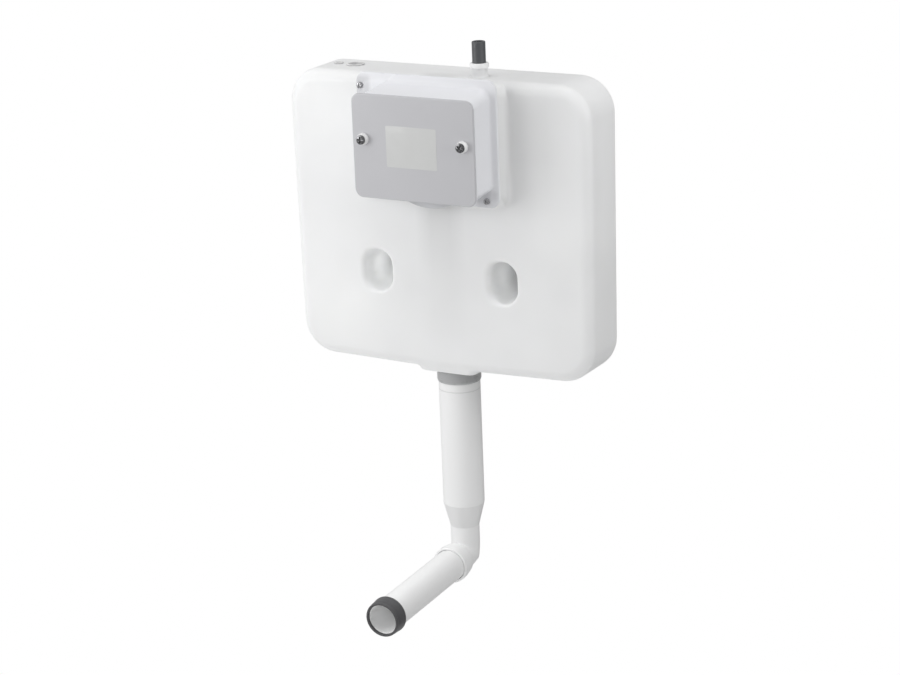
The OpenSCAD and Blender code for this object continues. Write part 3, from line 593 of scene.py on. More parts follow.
def rubber(name, colour, roughness=0.62):
    """Moulded rubber: matt, a little chalky bloom, fine grain."""
    f = Finish(name, colour, roughness)
    f.put("Specular IOR Level", 0.4)
    f.tint(f.fit(f.noise(70, 4), 0.45, 0.8, 0.0, 0.5), tuple(c * 1.5 + 0.012 for c in colour))
    f.vary_roughness(f.noise(120, 3), roughness * 0.85, roughness * 1.15)
    f.relief(f.noise(1300, 2), 0.03 * MM)
    return f.material


def foam():
    f = Finish("closed_cell_foam", (0.06, 0.06, 0.065), 0.9)
    cells = f.node("TexVoronoi")
    cells.inputs["Scale"].default_value = 900
    f.links.new(f.place, cells.inputs["Vector"])
    f.relief(cells.outputs["Distance"], 0.2 * MM)
    return f.material


def plated_steel(name, colour, roughness):
    """Bright plated steel with faint turning marks and small dull spots."""
    f = Finish(name, colour, roughness)
    f.put("Metallic", 1.0)
    f.tint(f.fit(f.noise(300, 3), 0.5, 0.75, 0.0, 0.6), darker(colour, 0.6))
    f.vary_roughness(f.noise(500, 2), roughness * 0.7, roughness * 1.5)
    f.relief(f.noise(2500, 1), 0.01 * MM)
    return f.material


def label_film():
    """A bare clear-coated label: pale, with a soft paper tone."""
    pale = (0.56, 0.565, 0.56)
    f = Finish("bare_label_film", pale, 0.28)
    f.tint(f.fit(f.noise(50, 3), 0.35, 0.7, 0.0, 0.5), darker(pale, 0.95))
    f.relief(f.noise(60, 2), 0.08 * MM)
    f.put("Coat Weight", 0.2)
    return f.material


tank_finish = blown_tank()
box_finish = box_plastic()
cover_finish = moulded("cover_grey_plastic", (0.49, 0.49, 0.51), 0.42, 0.04 * MM, 1100, 0.97)
bush_finish = moulded("bush_white_plastic", (0.84, 0.84, 0.84), 0.32)
nut_finish = moulded("nut_grey_plastic", (0.39, 0.395, 0.4), 0.28, gloss=1.0)
inlet_finish = moulded("inlet_dark_plastic", (0.07, 0.073, 0.078), 0.45)
valve_finish = moulded("valve_white_plastic", (0.8, 0.82, 0.83), 0.3)
moving_finish = moulded("valve_blue_plastic", (0.05, 0.16, 0.42), 0.32)
float_finish = moulded("float_plastic", (0.83, 0.83, 0.8), 0.45)
pipe_finish = pipe_plastic()
cone_finish = rubber("cone_dark_rubber", (0.075, 0.075, 0.079), 0.5)
seal_finish = rubber("seal_black_rubber", (0.018, 0.018, 0.019))
red_finish = rubber("seal_red_rubber", (0.32, 0.05, 0.035), 0.5)
foam_finish = foam()
# Painted reflection: the dark colour of the cover screws stands in for the dark surroundings that their
# plated heads mirror.
screw_finish = plated_steel("screw_plated_steel", (0.15, 0.15, 0.155), 0.2)
small_screw_finish = plated_steel("small_screw_plated_steel", (0.42, 0.42, 0.43), 0.35)
pin_finish = plated_steel("pin_stainless_steel", (0.6, 0.6, 0.6), 0.3)
grommet_finish = rubber("grommet_pale_rubber", (0.68, 0.68, 0.68), 0.6)
label_finish = label_film()

DRESSED_NODES = (
    (tank_finish, "tank_shell"),
    (box_finish, "access_housing"),
    (cover_finish, "access_cover"),
    (bush_finish, "cover_bushes", "inlet_nut"),
    (nut_finish, "outlet_nut"),
    (inlet_finish, "inlet_tail"),
    (foam_finish, "housing_gasket"),
    (screw_finish, "cover_screws"),
    (small_screw_finish, "housing_screws"),
    (pin_finish, "lever_pin"),
    (valve_finish, "fill_valve_body", "float_lever", "float_rod"),
    (valve_finish, "flush_valve_base", "valve_tower", "actuator_body"),
    (moving_finish, "fill_plunger", "lift_tube"),
    (float_finish, "float_cup", "lift_float"),
    (red_finish, "flush_seal"),
    (seal_finish, "inlet_washer", "plunger_washer", "outlet_washer"),
    (seal_finish, "actuator_piston", "tail_seal", "socket_seal"),
    (pipe_finish, "flush_bend", "flush_tube"),
    (cone_finish, "flush_cone"),
    (grommet_finish, "hose_grommet_small", "hose_grommet_large"),
)


def dress_nodes():
    """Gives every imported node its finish."""
    for finish, *nodes in DRESSED_NODES:
        for node in nodes:
            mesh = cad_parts[node].data
            mesh.materials.clear()
            mesh.materials.append(finish)


# The tank

TANK_FRONT = -87 * MM
TANK_TOP = 271 * MM
TANK_FOOT = -129 * MM
TANK_HALF_TOP = 226.5 * MM
TANK_HALF_FOOT = 222 * MM
TANK_CORNER = 48 * MM
TANK_WALL = 3.6 * MM
PEDESTAL_FOOT = -137 * MM
NECK_FACE = -101 * MM


def plain_tank(x, y, z):
    """The tank alone: wider at the top, its foot falling a little to the middle."""
    floor_fall = 4 * MM
    front_edge = 16 * MM
    back_edge = 10 * MM
    share = np.clip((z - TANK_FOOT) / (TANK_TOP - TANK_FOOT), 0, 1)
    half = TANK_HALF_FOOT + (TANK_HALF_TOP - TANK_HALF_FOOT) * share
    inwards = np.clip(1 - np.abs(x) / (TANK_HALF_FOOT - TANK_CORNER), 0, 1)
    fall = floor_fall * inwards * (1 - ramp(z, TANK_FOOT, 0.0))
    up = z + fall - (TANK_TOP + TANK_FOOT) / 2
    half_h = (TANK_TOP - TANK_FOOT) / 2
    flat = rect_distance(x * TANK_HALF_TOP / half, up, TANK_HALF_TOP, half_h, TANK_CORNER)
    return slab_distance(flat, y, TANK_FRONT, 0, np.where(y < TANK_FRONT / 2, front_edge, back_edge))


def tank_neck(x, y, z):
    """The raised neck behind the box's flange, flared where it leaves the tank, with its lobe."""
    back = -60 * MM
    edge = 1.2 * MM
    flare = 7.5 * MM * np.clip((y - NECK_FACE) / (14 * MM), 0, 1)
    top = 270 * MM
    foot = 109.5 * MM - flare
    flat = rect_distance(x, z - (top + foot) / 2, 102 * MM + flare, (top - foot) / 2, 18 * MM)
    neck = slab_distance(flat, y, NECK_FACE, back, edge)
    lobe_z, lobe_r, lobe_top = 181.5 * MM, 80 * MM, 130 * MM
    lobe = slab_distance(np.hypot(x, z - lobe_z) - lobe_r, y, NECK_FACE, back, edge)
    return soft_min(neck, np.maximum(lobe, z - lobe_top), 4 * MM)


def pedestal_outline(x, y, z):
    """The outlet pedestal seen from below, wider towards the tank."""
    flare = np.clip((z - PEDESTAL_FOOT) / (12 * MM), 0, 1) * 8 * MM
    return rect_distance(x, y - pipe_y, 42 * MM + flare, 37 * MM + flare / 4, 12 * MM)


def pocket_outline(x, y, z):
    """The ovals of the two fixing pockets seen from the front, narrower towards the wall."""
    narrower = 2.2 * MM * np.clip((y - TANK_FRONT) / (82 * MM), 0, 1)
    half_w = 21 * MM - narrower
    half_h = 29 * MM - narrower
    return np.hypot(np.abs(x) - FIXING_X, np.maximum(np.abs(z) - (half_h - half_w), 0)) - half_w


def tank_field(p):
    """Signed distance to the blown tank with its neck, pedestal, pockets and holes."""
    x, y, z = p.T
    ahead = -140 * MM
    body = plain_tank(x, y, z)
    neck_blend = 2 * MM + 3 * MM * (1 - ramp(z, 235 * MM, 262 * MM))
    outer = soft_min(body, tank_neck(x, y, z), neck_blend)
    pedestal = pedestal_outline(x, y, z)
    outer = soft_min(outer, slab_distance(pedestal, z, PEDESTAL_FOOT, -100 * MM, 1.5 * MM), 3.5 * MM)
    oval = pocket_outline(x, y, z)
    aside = np.abs(x) - FIXING_X
    leftwards = -aside * np.sign(x)
    rim = np.where(leftwards > 0, 4 + 5 * ramp(leftwards, 0.0, 18 * MM), 4) * MM
    outer = soft_max(outer, -slab_distance(oval, y, ahead, -5 * MM, 3 * MM), rim)
    hollow = np.maximum(body + TANK_WALL, TANK_WALL + rim / 3 - oval)
    hollow = cut_by(hollow, slab_distance(pedestal, z, PEDESTAL_FOOT, -129.4 * MM, 0))
    way_in = rect_distance(x, z - 189.5 * MM, 84 * MM, 64.5 * MM, 12 * MM)
    way_in = slab_distance(way_in, y, ahead, -75 * MM, 0)
    inlet_hole = np.hypot(x - inlet_x, y - inlet_y) - 10.2 * MM
    small_hole = np.hypot(x - SMALL_HOSE_X, y - HOSE_Y) - SMALL_HOSE_R
    large_hole = np.hypot(x - LARGE_HOSE_X, y - HOSE_Y) - LARGE_HOSE_R
    holes = np.minimum(np.minimum(inlet_hole, small_hole), large_hole)
    holes = np.maximum(holes, 200 * MM - z)
    outlet = np.maximum(np.hypot(x, y - pipe_y) - 24.5 * MM, z + 100 * MM)
    fixing = np.maximum(np.hypot(aside, z) - 4.5 * MM, -20 * MM - y)
    return cut_by(outer, hollow, way_in, holes, outlet, fixing)


def make_tank():
    steps = (2.9 * MM, 2.0 * MM)
    piece = field_piece("tank", tank_field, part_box("tank_shell"), 6 * MM, steps, 0.36, tank_finish)
    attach(piece, "cistern")
    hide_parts("tank_shell")


def make_boss():
    """The boss under the inlet nut, flared where it grows out of the tank top."""
    outline = in_mm([
        (9.7, -3.6), (10.3, -3.6), (10.3, -0.6), (15.5, -0.6), (15.5, 0.05, 0.05),
        (12.4, 0.6, 2.5), (11.1, 3.2, 2.5), (10.8, 12, 0.9), (9.7, 12, 0.3),
    ])
    outline = subdivided(round_corners(outline, 0.2 * MM), 3 * MM)
    piece = turned("inlet_boss", outline, straight((inlet_x, inlet_y, TANK_TOP), UPWARDS), tank_finish, 96)
    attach(piece, "cistern")
    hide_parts("tank_shell")


# The access box


def corner_triangle(x, z, side, grow):
    """The slant that cuts the lower right (1) or upper left (-1) corner off the box."""
    half_w, half_h = 93.5 * MM, 78 * MM
    cut_w, cut_h = 32 * MM, 24 * MM
    across = (x * side - (half_w - cut_w - grow)) / (cut_w + grow)
    up = ((COVER_Z - z) * side - (half_h - cut_h - grow)) / (cut_h + grow)
    size = 1 / math.hypot(1 / (cut_w + grow), 1 / (cut_h + grow))
    return (1 - across - up) * size


def screw_distance(x, z):
    return np.hypot(np.abs(x) - COVER_SCREW_X, z - COVER_SCREW_Z)


def flange_outline(x, z):
    """The flange seen from the front, with the round lobe under it."""
    flat = rect_distance(x, z - 192 * MM, 104.5 * MM, 85 * MM, 14 * MM)
    lobe_z, lobe_r, lobe_top = 181.77 * MM, 82.77 * MM, 150 * MM
    lobe = np.maximum(np.hypot(x, z - lobe_z) - lobe_r, z - lobe_top)
    return soft_min(flat, lobe, 2 * MM)


def screw_boss_outline(x, z):
    """The boss round a cover screw and the web that ties it to the side of the box."""
    boss_r, web_half_w, web_half_h = 6 * MM, 6 * MM, 3 * MM
    web = np.abs(np.abs(x) - COVER_SCREW_X - web_half_w) - web_half_w
    web = np.maximum(np.abs(z - COVER_SCREW_Z) - web_half_h, web)
    return soft_min(screw_distance(x, z) - boss_r, web, 1.5 * MM)


def housing_field(p):
    """Signed distance to the flange with its lobe and the box with its bosses and cut corners."""
    x, y, z = p.T
    wall, edge, boss_edge = 3 * MM, 1.0 * MM, 0.3 * MM
    draft_w, draft_h, draft_up = 3 * MM, 5.5 * MM, 2.5 * MM
    cavity_half_w, cavity_half_h = 85 * MM, 64.5 * MM
    cover_bore_r, flange_hole_r, ahead = 2.4 * MM, 2 * MM, -160 * MM
    flange = slab_distance(flange_outline(x, z), y, FLANGE_Y, FLANGE_BACK_Y, edge)
    wider = np.clip((y - BOX_RIM_Y) / (FLANGE_Y - BOX_RIM_Y), 0, 1)
    half_w = COVER_HALF_W + draft_w * wider
    half_h = COVER_HALF_H + draft_h * wider
    middle = COVER_Z + draft_up * wider
    box_flat = rect_distance(x, z - middle, half_w, half_h, 13 * MM)
    box = slab_distance(box_flat, y, BOX_RIM_Y, FLANGE_BACK_Y, edge)
    cavity = rect_distance(x, z - COVER_Z, cavity_half_w, cavity_half_h, 8 * MM)
    cavity = cut_by(cavity, corner_triangle(x, z, -1, wall), corner_triangle(x, z, 1, wall))
    shell = cut_by(soft_min(flange, box, 5 * MM), cavity)
    boss = slab_distance(screw_boss_outline(x, z), y, BOX_RIM_Y, FLANGE_BACK_Y, boss_edge)
    shell = soft_min(shell, boss, 1.5 * MM)
    for side in (-1, 1):
        corner = slab_distance(corner_triangle(x, z, side, 0), y, ahead, FLANGE_Y, 0.5 * MM)
        shell = soft_max(shell, -corner, 2 * MM)
    shell = cut_by(shell, np.maximum(screw_distance(x, z) - cover_bore_r, y - FLANGE_Y))
    for spot_x, spot_z in HOUSING_SPOTS:
        shell = cut_by(shell, np.hypot(x - spot_x, z - spot_z) - flange_hole_r)
    return shell


def make_housing():
    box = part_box("access_housing")
    steps = in_mm([(2.6, 1.8, 2.6), (1.5, 1.0, 1.5)])
    piece = field_piece("access_box", housing_field, box, 3 * MM, steps, 0.6, box_finish)
    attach(piece, "cistern")
    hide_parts("access_housing")


def cover_field(p):
    """Signed distance to the cover plate with its rounded edge, inner lips and screw holes."""
    x, y, z = p.T
    plate_back, lip_front, screw_hole_r = -140.8 * MM, -142 * MM, 4.25 * MM
    lip_away, lip_half_w, lip_half_h = 63 * MM, 45 * MM, 1.2 * MM
    flat = rect_distance(x, z - COVER_Z, COVER_HALF_W, COVER_HALF_H, 12 * MM)
    plate = slab_distance(flat, y, cover_low.y, plate_back, 1.3 * MM)
    lip = rect_distance(x, np.abs(z - COVER_Z) - lip_away, lip_half_w, lip_half_h, 0.5 * MM)
    lip = slab_distance(lip, y, lip_front, cover_high.y, 0.4 * MM)
    return cut_by(np.minimum(plate, lip), screw_distance(x, z) - screw_hole_r)


def make_cover():
    box = (cover_low, cover_high)
    steps = in_mm([(2.2, 0.9, 2.2), (1.3, 0.6, 1.3)])
    piece = field_piece("cover_plate", cover_field, box, 2 * MM, steps, 0.5, cover_finish)
    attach(piece, "cover")
    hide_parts("access_cover")


def make_label():
    """A bare pale film on the cover."""
    half_w, half_h, corner = 37.5 * MM, 27.5 * MM, 1.5 * MM
    thick, sunk = 0.12 * MM, 0.05 * MM
    crown, crown_share = 0.02 * MM, 0.99
    centre_x, centre_z = -2.5 * MM, 188.5 * MM
    outline = round_corners([(u * half_w, v * half_h) for u, v in SQUARE], corner, 5, 0)
    front = cover_low.y - thick
    face = [(centre_x + u * crown_share, front - crown, centre_z + v * crown_share) for u, v in outline]
    edge = [(centre_x + u, front, centre_z + v) for u, v in outline]
    foot = [(centre_x + u, cover_low.y + sunk, centre_z + v) for u, v in outline]
    n = len(outline)
    faces = [tuple(range(n)), tuple(range(3 * n - 1, 2 * n - 1, -1))]
    for start in (0, n):
        for k in range(n):
            after = (k + 1) % n
            faces.append((start + k, start + n + k, start + n + after, start + after))
    piece = new_object("label_film", face + edge + foot, faces, label_finish)
    point_outwards(piece)
    piece.data.polygons.foreach_set("use_smooth", [False] * len(piece.data.polygons))
    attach(piece, "cover")


# Screws and bushes

TURN_BETWEEN_SCREWS = 0.6


def screw_head_field(p, radius, height):
    """A pan head at the origin, its top towards -Y, with a cross recess."""
    x, y, z = p.T
    away = np.hypot(x, z)
    out = away / radius
    dome = np.sqrt(np.maximum(1 - (out / 1.02) ** 2, 0))
    domed_height = height * (0.6 + 0.4 * dome)
    head = np.maximum(np.maximum(away - radius, -y - domed_height), y)
    arm_half_w = radius * 0.14 * (1 + 0.25 * out)
    arm_reach = radius * 0.7
    arm = np.maximum(np.minimum(np.abs(x), np.abs(z)) - arm_half_w, away - arm_reach)
    depth = height * 0.85 * (1 - 0.4 * out)
    recess = np.maximum(arm, y + height - depth)
    return soft_max(head, -recess, 0.25 * MM)


def screw_pair(name, finish, spots, y, radius, height, shank_r, shank_l):
    """Pan-head screws at the spots, one mesh repeated, their shanks towards +Y."""
    step = radius / 22
    field = lambda p: screw_head_field(p, radius, height)
    low = (-radius * 1.15, -height * 1.3, -radius * 1.15)
    high = (radius * 1.15, height * 0.3, radius * 1.15)
    head = field_mesh(name + "_head", field, low, high, step, finish)
    outline = [
        (0, 0), (shank_r, 0), (shank_r, shank_l - shank_r, 0.3 * MM),
        (shank_r * 0.4, shank_l, 0.2 * MM), (0, shank_l),
    ]
    path = straight((0, -0.1 * MM, 0), (0, 1, 0))
    shank = turned(name + "_shank", round_corners(outline, 0), path, finish, 24)
    pattern = joined(name + "_pattern", [head, shank])
    return repeated(name, pattern, [(x, y, z) for x, z in spots], finish)


def make_cover_screws():
    piece = screw_pair(
        "cover_screw_pair", screw_finish, COVER_SPOTS, bush_low.y + BUSH_LESS,
        radius=6.3 * MM, height=2.8 * MM, shank_r=2 * MM, shank_l=34 * MM,
    )
    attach(piece, "cover")
    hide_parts("cover_screws")


def make_housing_screws():
    piece = screw_pair(
        "housing_screw_pair", small_screw_finish, HOUSING_SPOTS, FLANGE_Y,
        radius=4.2 * MM, height=2.8 * MM, shank_r=1.9 * MM, shank_l=14 * MM,
    )
    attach(piece, "cistern")
    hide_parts("housing_screws")


def repeated(name, pattern, places, material):
    """Geometry Nodes: a pattern set on every point, made real and given its material."""
    tree = bpy.data.node_groups.new(name + "_tree", "GeometryNodeTree")
    tree.interface.new_socket("Points", in_out="INPUT", socket_type="NodeSocketGeometry")
    turn = tree.interface.new_socket("Turn of each copy", in_out="INPUT", socket_type="NodeSocketFloat")
    tree.interface.new_socket("Mesh", in_out="OUTPUT", socket_type="NodeSocketGeometry")
    nodes, link = tree.nodes, tree.links.new
    start = nodes.new("NodeGroupInput")
    end = nodes.new("NodeGroupOutput")
    info = nodes.new("GeometryNodeObjectInfo")
    info.inputs["Object"].default_value = pattern
    index = nodes.new("GeometryNodeInputIndex")
    spin = nodes.new("ShaderNodeMath")
    spin.operation = "MULTIPLY"
    aim = nodes.new("ShaderNodeCombineXYZ")
    copies = nodes.new("GeometryNodeInstanceOnPoints")
    real = nodes.new("GeometryNodeRealizeInstances")
    paint = nodes.new("GeometryNodeSetMaterial")
    paint.inputs["Material"].default_value = material
    link(index.outputs[0], spin.inputs[0])
    link(start.outputs["Turn of each copy"], spin.inputs[1])
    link(spin.outputs[0], aim.inputs["Y"])
    link(start.outputs["Points"], copies.inputs["Points"])
    link(info.outputs["Geometry"], copies.inputs["Instance"])
    link(aim.outputs[0], copies.inputs["Rotation"])
    link(copies.outputs[0], real.inputs[0])
    link(real.outputs[0], paint.inputs["Geometry"])
    link(paint.outputs[0], end.inputs["Mesh"])
    holder = new_object(name, places, [], material)
    modifier = holder.modifiers.new("copies", "NODES")
    modifier.node_group = tree
    modifier[turn.identifier] = TURN_BETWEEN_SCREWS
    settle_modifiers(holder)
    bpy.data.objects.remove(pattern)
    return holder


def make_bushes():
    height = (cover_low.y - bush_low.y - BUSH_LESS) / MM
    bore_r, spigot_r, seat_r = 2.1, 4.2, 5.4
    spigot_end, seat = -3.9, height - 0.6
    outline = in_mm([
        (bore_r, spigot_end), (spigot_r, spigot_end), (spigot_r, 0, 0), (7.9, 0, 0.2),
        (7.8, height * 0.55, 0.5), (7.3, height * 0.7, 0.5), (7.1, height, 0.8),
        (seat_r, height, 0.2), (seat_r, seat, 0.2), (bore_r, seat),
    ])
    outline = round_corners(outline)
    pieces = []
    for x, z in COVER_SPOTS:
        pieces.append(turned("bush", outline, straight((x, cover_low.y, z), FORWARDS), bush_finish, 64))
    piece = joined("screw_bushes", pieces)
    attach(piece, "cover")
    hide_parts("cover_bushes")


# Pipes


def bend_path(s):
    """The bend's centre line: down, round the elbow with its tight outer corner, and forwards."""
    tightness = 0.55
    down = bend_high.z - elbow_z
    side = Vector((1, 0, 0))
    if s <= down:
        return Vector((0, pipe_y, bend_high.z - s)), side, Vector((0, 1, 0))
    a = min((s - down) / ELBOW_R, elbow_turn)
    out = Vector((0, math.cos(a), -math.sin(a)))
    centre = Vector((0, pipe_y - ELBOW_R, elbow_z))
    towards_corner = 1 / math.cos(min(a, elbow_turn - a)) - 1
    corner = tightness * towards_corner * (ELBOW_R + NARROW_R) / NARROW_R
    centre = centre + (ELBOW_R + corner * NARROW_R / 2) * out
    onwards = max(s - down - elbow_turn * ELBOW_R, 0)
    return centre + along_tube * onwards, side, out * (1 + corner / 2)


def make_bend():
    """Wide pipe with its groove, taper, narrow pipe, elbow and socket: one turned outline."""
    at = lambda z: bend_high.z - z
    elbow = at(elbow_z) + ELBOW_R * elbow_turn
    straight_on = Vector((0, pipe_y, CROSSING_Z)) + along_tube * tangent
    socket = elbow + (socket_back - straight_on).length
    end = socket + 23.6 * MM
    groove, groove_r = at(GROOVE_Z), WIDE_R - 0.3 * MM
    socket_r, rim_r, mouth_r, seal_r = 24.8 * MM, 26 * MM, 22.65 * MM, 24.3 * MM
    outline = [
        (WIDE_R - PIPE_WALL, 0, 0.8 * MM), (WIDE_R, 0, 0.8 * MM),
        (WIDE_R, groove, 0.3 * MM), (groove_r, groove + 0.3 * MM, 0.2 * MM),
        (groove_r, groove + 1.3 * MM, 0.2 * MM), (WIDE_R, groove + GROOVE_W, 0.3 * MM),
        (WIDE_R, at(TAPER_TOP), 2.5 * MM), (NARROW_R, at(TAPER_FOOT), 2.5 * MM),
        (NARROW_R, elbow + 0.5 * MM, 1.5 * MM), (23.6 * MM, elbow + 4 * MM, 1.5 * MM),
        (socket_r, socket + 5 * MM, 1.5 * MM), (socket_r, end - 12 * MM, 0.4 * MM),
        (rim_r, end - 11.6 * MM, 0.7 * MM), (rim_r, end, 1.3 * MM), (22.8 * MM, end, 0.6 * MM),
        (mouth_r, end - 2.6 * MM, 0.2 * MM), (seal_r, end - 2.6 * MM, 0.2 * MM),
        (seal_r, end - 7.6 * MM, 0.2 * MM), (mouth_r, end - 7.6 * MM, 0.2 * MM),
        (mouth_r, end - 19 * MM, 0.2 * MM), (NARROW_R - PIPE_WALL, end - 19 * MM, 0.5 * MM),
        (NARROW_R - PIPE_WALL, at(TAPER_FOOT), 12 * MM), (WIDE_R - PIPE_WALL, at(TAPER_TOP), 14 * MM),
    ]
    outline = subdivided(round_corners(outline, 0.5 * MM), 2.5 * MM)
    piece = turned("flush_bend_pipe", outline, bend_path, pipe_finish, 112)
    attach(piece, "bend")
    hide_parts("flush_bend")


def make_tube():
    back, front = 5.6 * MM, 207.8 * MM
    length = front - back
    r, wall = 22.3 * MM, 2.3 * MM
    outline = [
        (r - wall, 0), (r - 0.8 * MM, 0), (r, 3 * MM, 1 * MM),
        (r, length, 0.7 * MM), (r - wall, length, 0.7 * MM),
    ]
    outline = subdivided(round_corners(outline, 0.4 * MM), 12 * MM)
    path = straight(socket_back + along_tube * back, along_tube)
    piece = turned("flush_tube_pipe", outline, path, pipe_finish, 112)
    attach(piece, "tube")
    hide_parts("flush_tube")


def make_cone():
    """The rubber flush cone: rolled front lip, a shallow groove behind it and a back bead."""
    mouth_r, tube_r, length = 21.0, 22.35, 21
    lip_back = 3.95
    outline = in_mm([
        (mouth_r, 0, 0.8), (23.6, 0, 1.1), (24.4, 1.8, 0.8), (24.0, 3.0, 0.8), (24.9, 7, 3),
        (25.2, 16.4, 2), (25.7, 18.2, 2), (25.7, 20.4, 0.9), (24.9, length, 0.6),
        (tube_r, length, 0.5), (tube_r, lip_back, 0.2), (mouth_r, lip_back, 0.2),
    ])
    path = straight(socket_back + along_tube * CONE_REACH, -along_tube)
    piece = turned("flush_cone_rubber", round_corners(outline), path, cone_finish, 128)
    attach(piece, "tube")
    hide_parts("flush_cone")


def make_outlet_nut():
    height = (nut_high.z - nut_low.z) / MM
    thread_r, pipe_r, outer_r = 24.0, 29.0, 30.25
    thread_l = 10
    outline = in_mm([
        (thread_r, 0), (29.5, 0, 0.6), (outer_r, 1.0, 0.6), (outer_r, height - 2.4, 1.8),
        (29.4, height, 0.5), (pipe_r, height, 0.2), (pipe_r, thread_l, 0.3), (thread_r, thread_l, 0.3),
    ])
    path = straight((0, pipe_y, nut_high.z), (0, 0, -1))
    piece = turned("outlet_nut_body", round_corners(outline, 0.4 * MM), path, nut_finish, 128)
    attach(piece, "cistern")
    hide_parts("outlet_nut")


# Water inlet and grommets


def make_inlet():
    length = (tail_high.z - tail_low.z) / MM
    bore_r, stub_r, shoulder_r = 6.0, 9.0, 14.0
    shoulder_foot, shoulder_top = 11, 15
    outline = in_mm([
        (bore_r, 0), (stub_r, 0, 0.4), (stub_r, shoulder_foot, 0.3),
        (shoulder_r, shoulder_foot, 0.3), (shoulder_r, shoulder_top, 0.3),
        (stub_r, shoulder_top, 0.3), (stub_r, length, 0.9), (6.6, length, 0.6),
        (bore_r, length - 1.5, 0.3),
    ])
    path = straight((inlet_x, inlet_y, tail_low.z), UPWARDS)
    piece = turned("inlet_stub", round_corners(outline), path, inlet_finish, 72)
    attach(piece, "cistern")
    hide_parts("inlet_tail")


def make_collar():
    """The inlet nut: a plain ring with rounded edges."""
    height = (collar_high.z - collar_low.z) / MM
    bore_r, outer_r = 9.1, 12.7
    outline = in_mm([
        (bore_r, 0), (11.6, 0, 0.6), (outer_r, 1.4, 0.8), (outer_r, height - 1.2, 1.0),
        (11.4, height, 0.8), (bore_r, height, 0.3),
    ])
    path = straight((inlet_x, inlet_y, collar_low.z), UPWARDS)
    piece = turned("inlet_collar", round_corners(outline), path, bush_finish, 72)
    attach(piece, "cistern")
    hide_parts("inlet_nut")


def make_grommet(node, x, hole_r):
    """A rubber grommet in a hole of the tank's top, with a rounded lip above and one below."""
    low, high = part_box(node)
    height = (high.z - low.z) / MM
    hole = hole_r / MM
    bore_r, lip_r, groove_r = hole - 1.6, hole + 1.6, hole - 0.1
    outline = in_mm([
        (bore_r, 0, 0.6), (lip_r, 0, 0.6), (lip_r, 1.5, 0.4), (groove_r, 1.7, 0.2),
        (groove_r, height - 1.5, 0.2), (lip_r, height - 1.5, 0.3),
        (hole + 1.2, height - 0.3, 0.8), (hole - 1.0, height, 0.8), (bore_r, height - 1, 0.5),
    ])
    path = straight((x, (low.y + high.y) / 2, low.z), UPWARDS)
    piece = turned(node + "_rubber", round_corners(outline), path, grommet_finish, 64)
    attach(piece, "cistern")
    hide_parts(node)


# Camera, light and floor

# Power of the hidden lights: by depth in the tube, by side, and by X and Z in millimetres
TUBE_LIGHTS = ((30 * MM, 0.0012), (75 * MM, 0.0014))
POCKET_LIGHTS = ((-1, 0.0075), (1, 0.005))
TANK_LIGHTS = (
    (-155, 215, 0.03), (-150, -60, 0.07), (0, -90, 0.05), (150, -70, 0.02), (200, 60, 0.03),
)


def set_camera():
    az, el, roll = CAMERA_AZIMUTH, CAMERA_ELEVATION, CAMERA_ROLL
    back = Vector((math.sin(az) * math.cos(el), -math.cos(az) * math.cos(el), math.sin(el)))
    right = Vector((math.cos(az), math.sin(az), 0))
    down = -back.cross(right)
    camera_x = math.cos(roll) * right + math.sin(roll) * down
    camera_y = math.sin(roll) * right - math.cos(roll) * down
    data = bpy.data.cameras.new("camera")
    data.sensor_width = SENSOR_W
    data.lens = CAMERA_FOCAL_PIXELS / IMAGE_W * SENSOR_W
    data.clip_start = 0.05
    data.clip_end = 100
    camera = in_scene("camera", data)
    turn = Matrix((camera_x, camera_y, back)).transposed().to_4x4()
    camera.matrix_world = Matrix.Translation(CAMERA_TARGET + back * CAMERA_DISTANCE) @ turn
    bpy.context.scene.camera = camera


def new_light(name, kind, place, power):
    data = bpy.data.lights.new(name, kind)
    data.energy = power
    light = in_scene(name, data)
    light.location = place
    return light


def area_light(name, place, aim, size, power):
    light = new_light(name, "AREA", place, power)
    light.data.shape = "RECTANGLE"
    light.data.size, light.data.size_y = size
    light.rotation_euler = (Vector(place) - Vector(aim)).to_track_quat("Z", "Y").to_euler()


def inner_light(place, power, radius):
    """The light that the milky plastic lets through, given by a small lamp that isn't seen."""
    light = new_light("inner_light", "POINT", place, power)
    light.data.shadow_soft_size = radius
    light.visible_camera = False
    light.visible_glossy = False


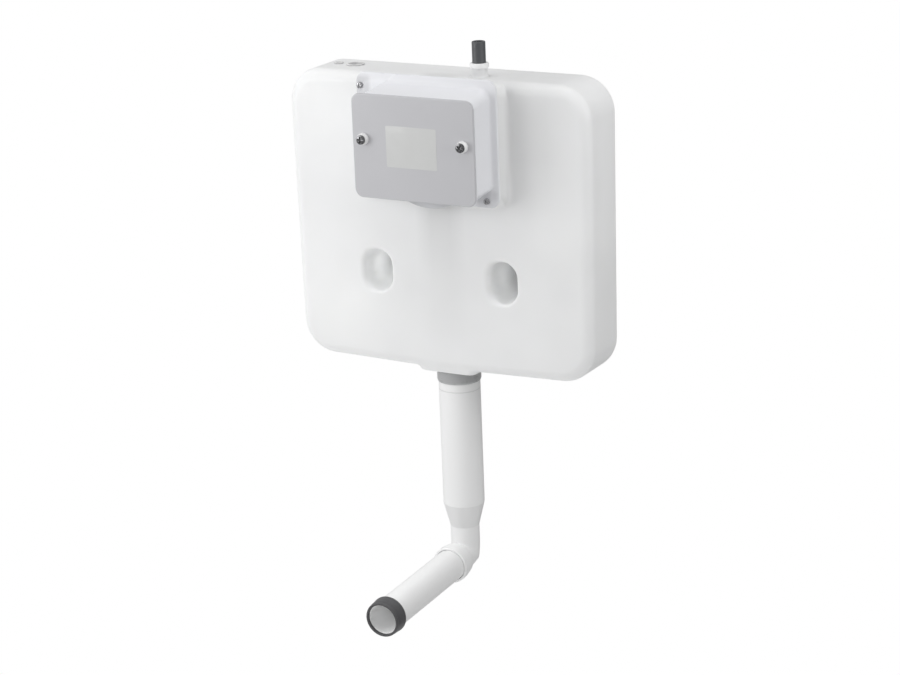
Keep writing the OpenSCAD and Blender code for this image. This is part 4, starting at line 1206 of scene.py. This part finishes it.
def make_sky():
    """A soft white dome, brightest from the upper left; the camera sees it plain white."""
    bright_side = Vector((-0.45, -0.35, 0.8))
    darkest, brightest = 0.12, 0.88
    world = bpy.data.worlds.new("studio")
    world.use_nodes = True
    nodes, link = world.node_tree.nodes, world.node_tree.links.new
    background = nodes["Background"]
    background.inputs["Color"].default_value = PURE_WHITE
    direction = nodes.new("ShaderNodeTexCoord")
    towards = nodes.new("ShaderNodeVectorMath")
    towards.operation = "DOT_PRODUCT"
    towards.inputs[1].default_value = bright_side.normalized()
    dome = nodes.new("ShaderNodeMapRange")
    for socket, value in zip(RANGE_SOCKETS, (-1, 1, darkest, brightest)):
        dome.inputs[socket].default_value = value
    link(direction.outputs["Generated"], towards.inputs[0])
    link(towards.outputs["Value"], dome.inputs["Value"])
    link(dome.outputs["Result"], background.inputs["Strength"])
    seen = nodes.new("ShaderNodeBackground")
    seen.inputs["Color"].default_value = PURE_WHITE
    seen.inputs["Strength"].default_value = 1.0
    ray = nodes.new("ShaderNodeLightPath")
    mix = nodes.new("ShaderNodeMixShader")
    link(ray.outputs["Is Camera Ray"], mix.inputs["Fac"])
    link(background.outputs[0], mix.inputs[1])
    link(seen.outputs[0], mix.inputs[2])
    link(mix.outputs[0], nodes["World Output"].inputs["Surface"])
    bpy.context.scene.world = world


def set_light():
    make_sky()
    aim = (0, -0.05, 0.05)
    area_light("key", (-0.76, -0.87, 0.26), aim, (0.6, 0.6), 4.7)
    area_light("top", (0.1, -0.3, 1.9), aim, (1.6, 1.2), 7)
    area_light("right", (0.95, -0.25, 0.4), (0.2, -0.05, 0.12), (0.5, 0.5), 2.9)
    for depth, power in TUBE_LIGHTS:
        inner_light(socket_back + along_tube * (CONE_REACH - depth), power, 8 * MM)
    for side, power in POCKET_LIGHTS:
        inner_light((side * FIXING_X, -48 * MM, 0), power, 12 * MM)
    for x, z, power in TANK_LIGHTS:
        inner_light((x * MM, TANK_FRONT / 2 + 0.5 * MM, z * MM), power, 30 * MM)
    view = bpy.context.scene.view_settings
    view.view_transform = "Standard"
    view.look = "None"
    view.exposure = 0.0
    view.gamma = 1.0


def make_floor():
    """A pale floor far below the part."""
    half_size = 2.0
    drop = 2.0
    z = cad_low.z - drop
    f = Finish("floor_pale", (0.92, 0.92, 0.92), 0.85)
    f.put("Emission Color", PURE_WHITE)
    f.put("Emission Strength", 0.6)
    f.tint(f.fit(f.noise(1.5, 2), 0.3, 0.7, 0.0, 0.3), (0.9, 0.9, 0.9))
    corners = [(x * half_size, y * half_size, z) for x, y in SQUARE]
    floor = new_object("floor", corners, [(0, 1, 2, 3)], f.material)


set_camera()
set_light()
make_floor()
dress_nodes()
make_tank()
make_boss()
make_housing()
make_cover()
make_label()
make_bushes()
make_cover_screws()
make_housing_screws()
make_inlet()
make_collar()
make_outlet_nut()
make_bend()
make_tube()
make_cone()
make_grommet("hose_grommet_small", SMALL_HOSE_X, SMALL_HOSE_R)
make_grommet("hose_grommet_large", LARGE_HOSE_X, LARGE_HOSE_R)
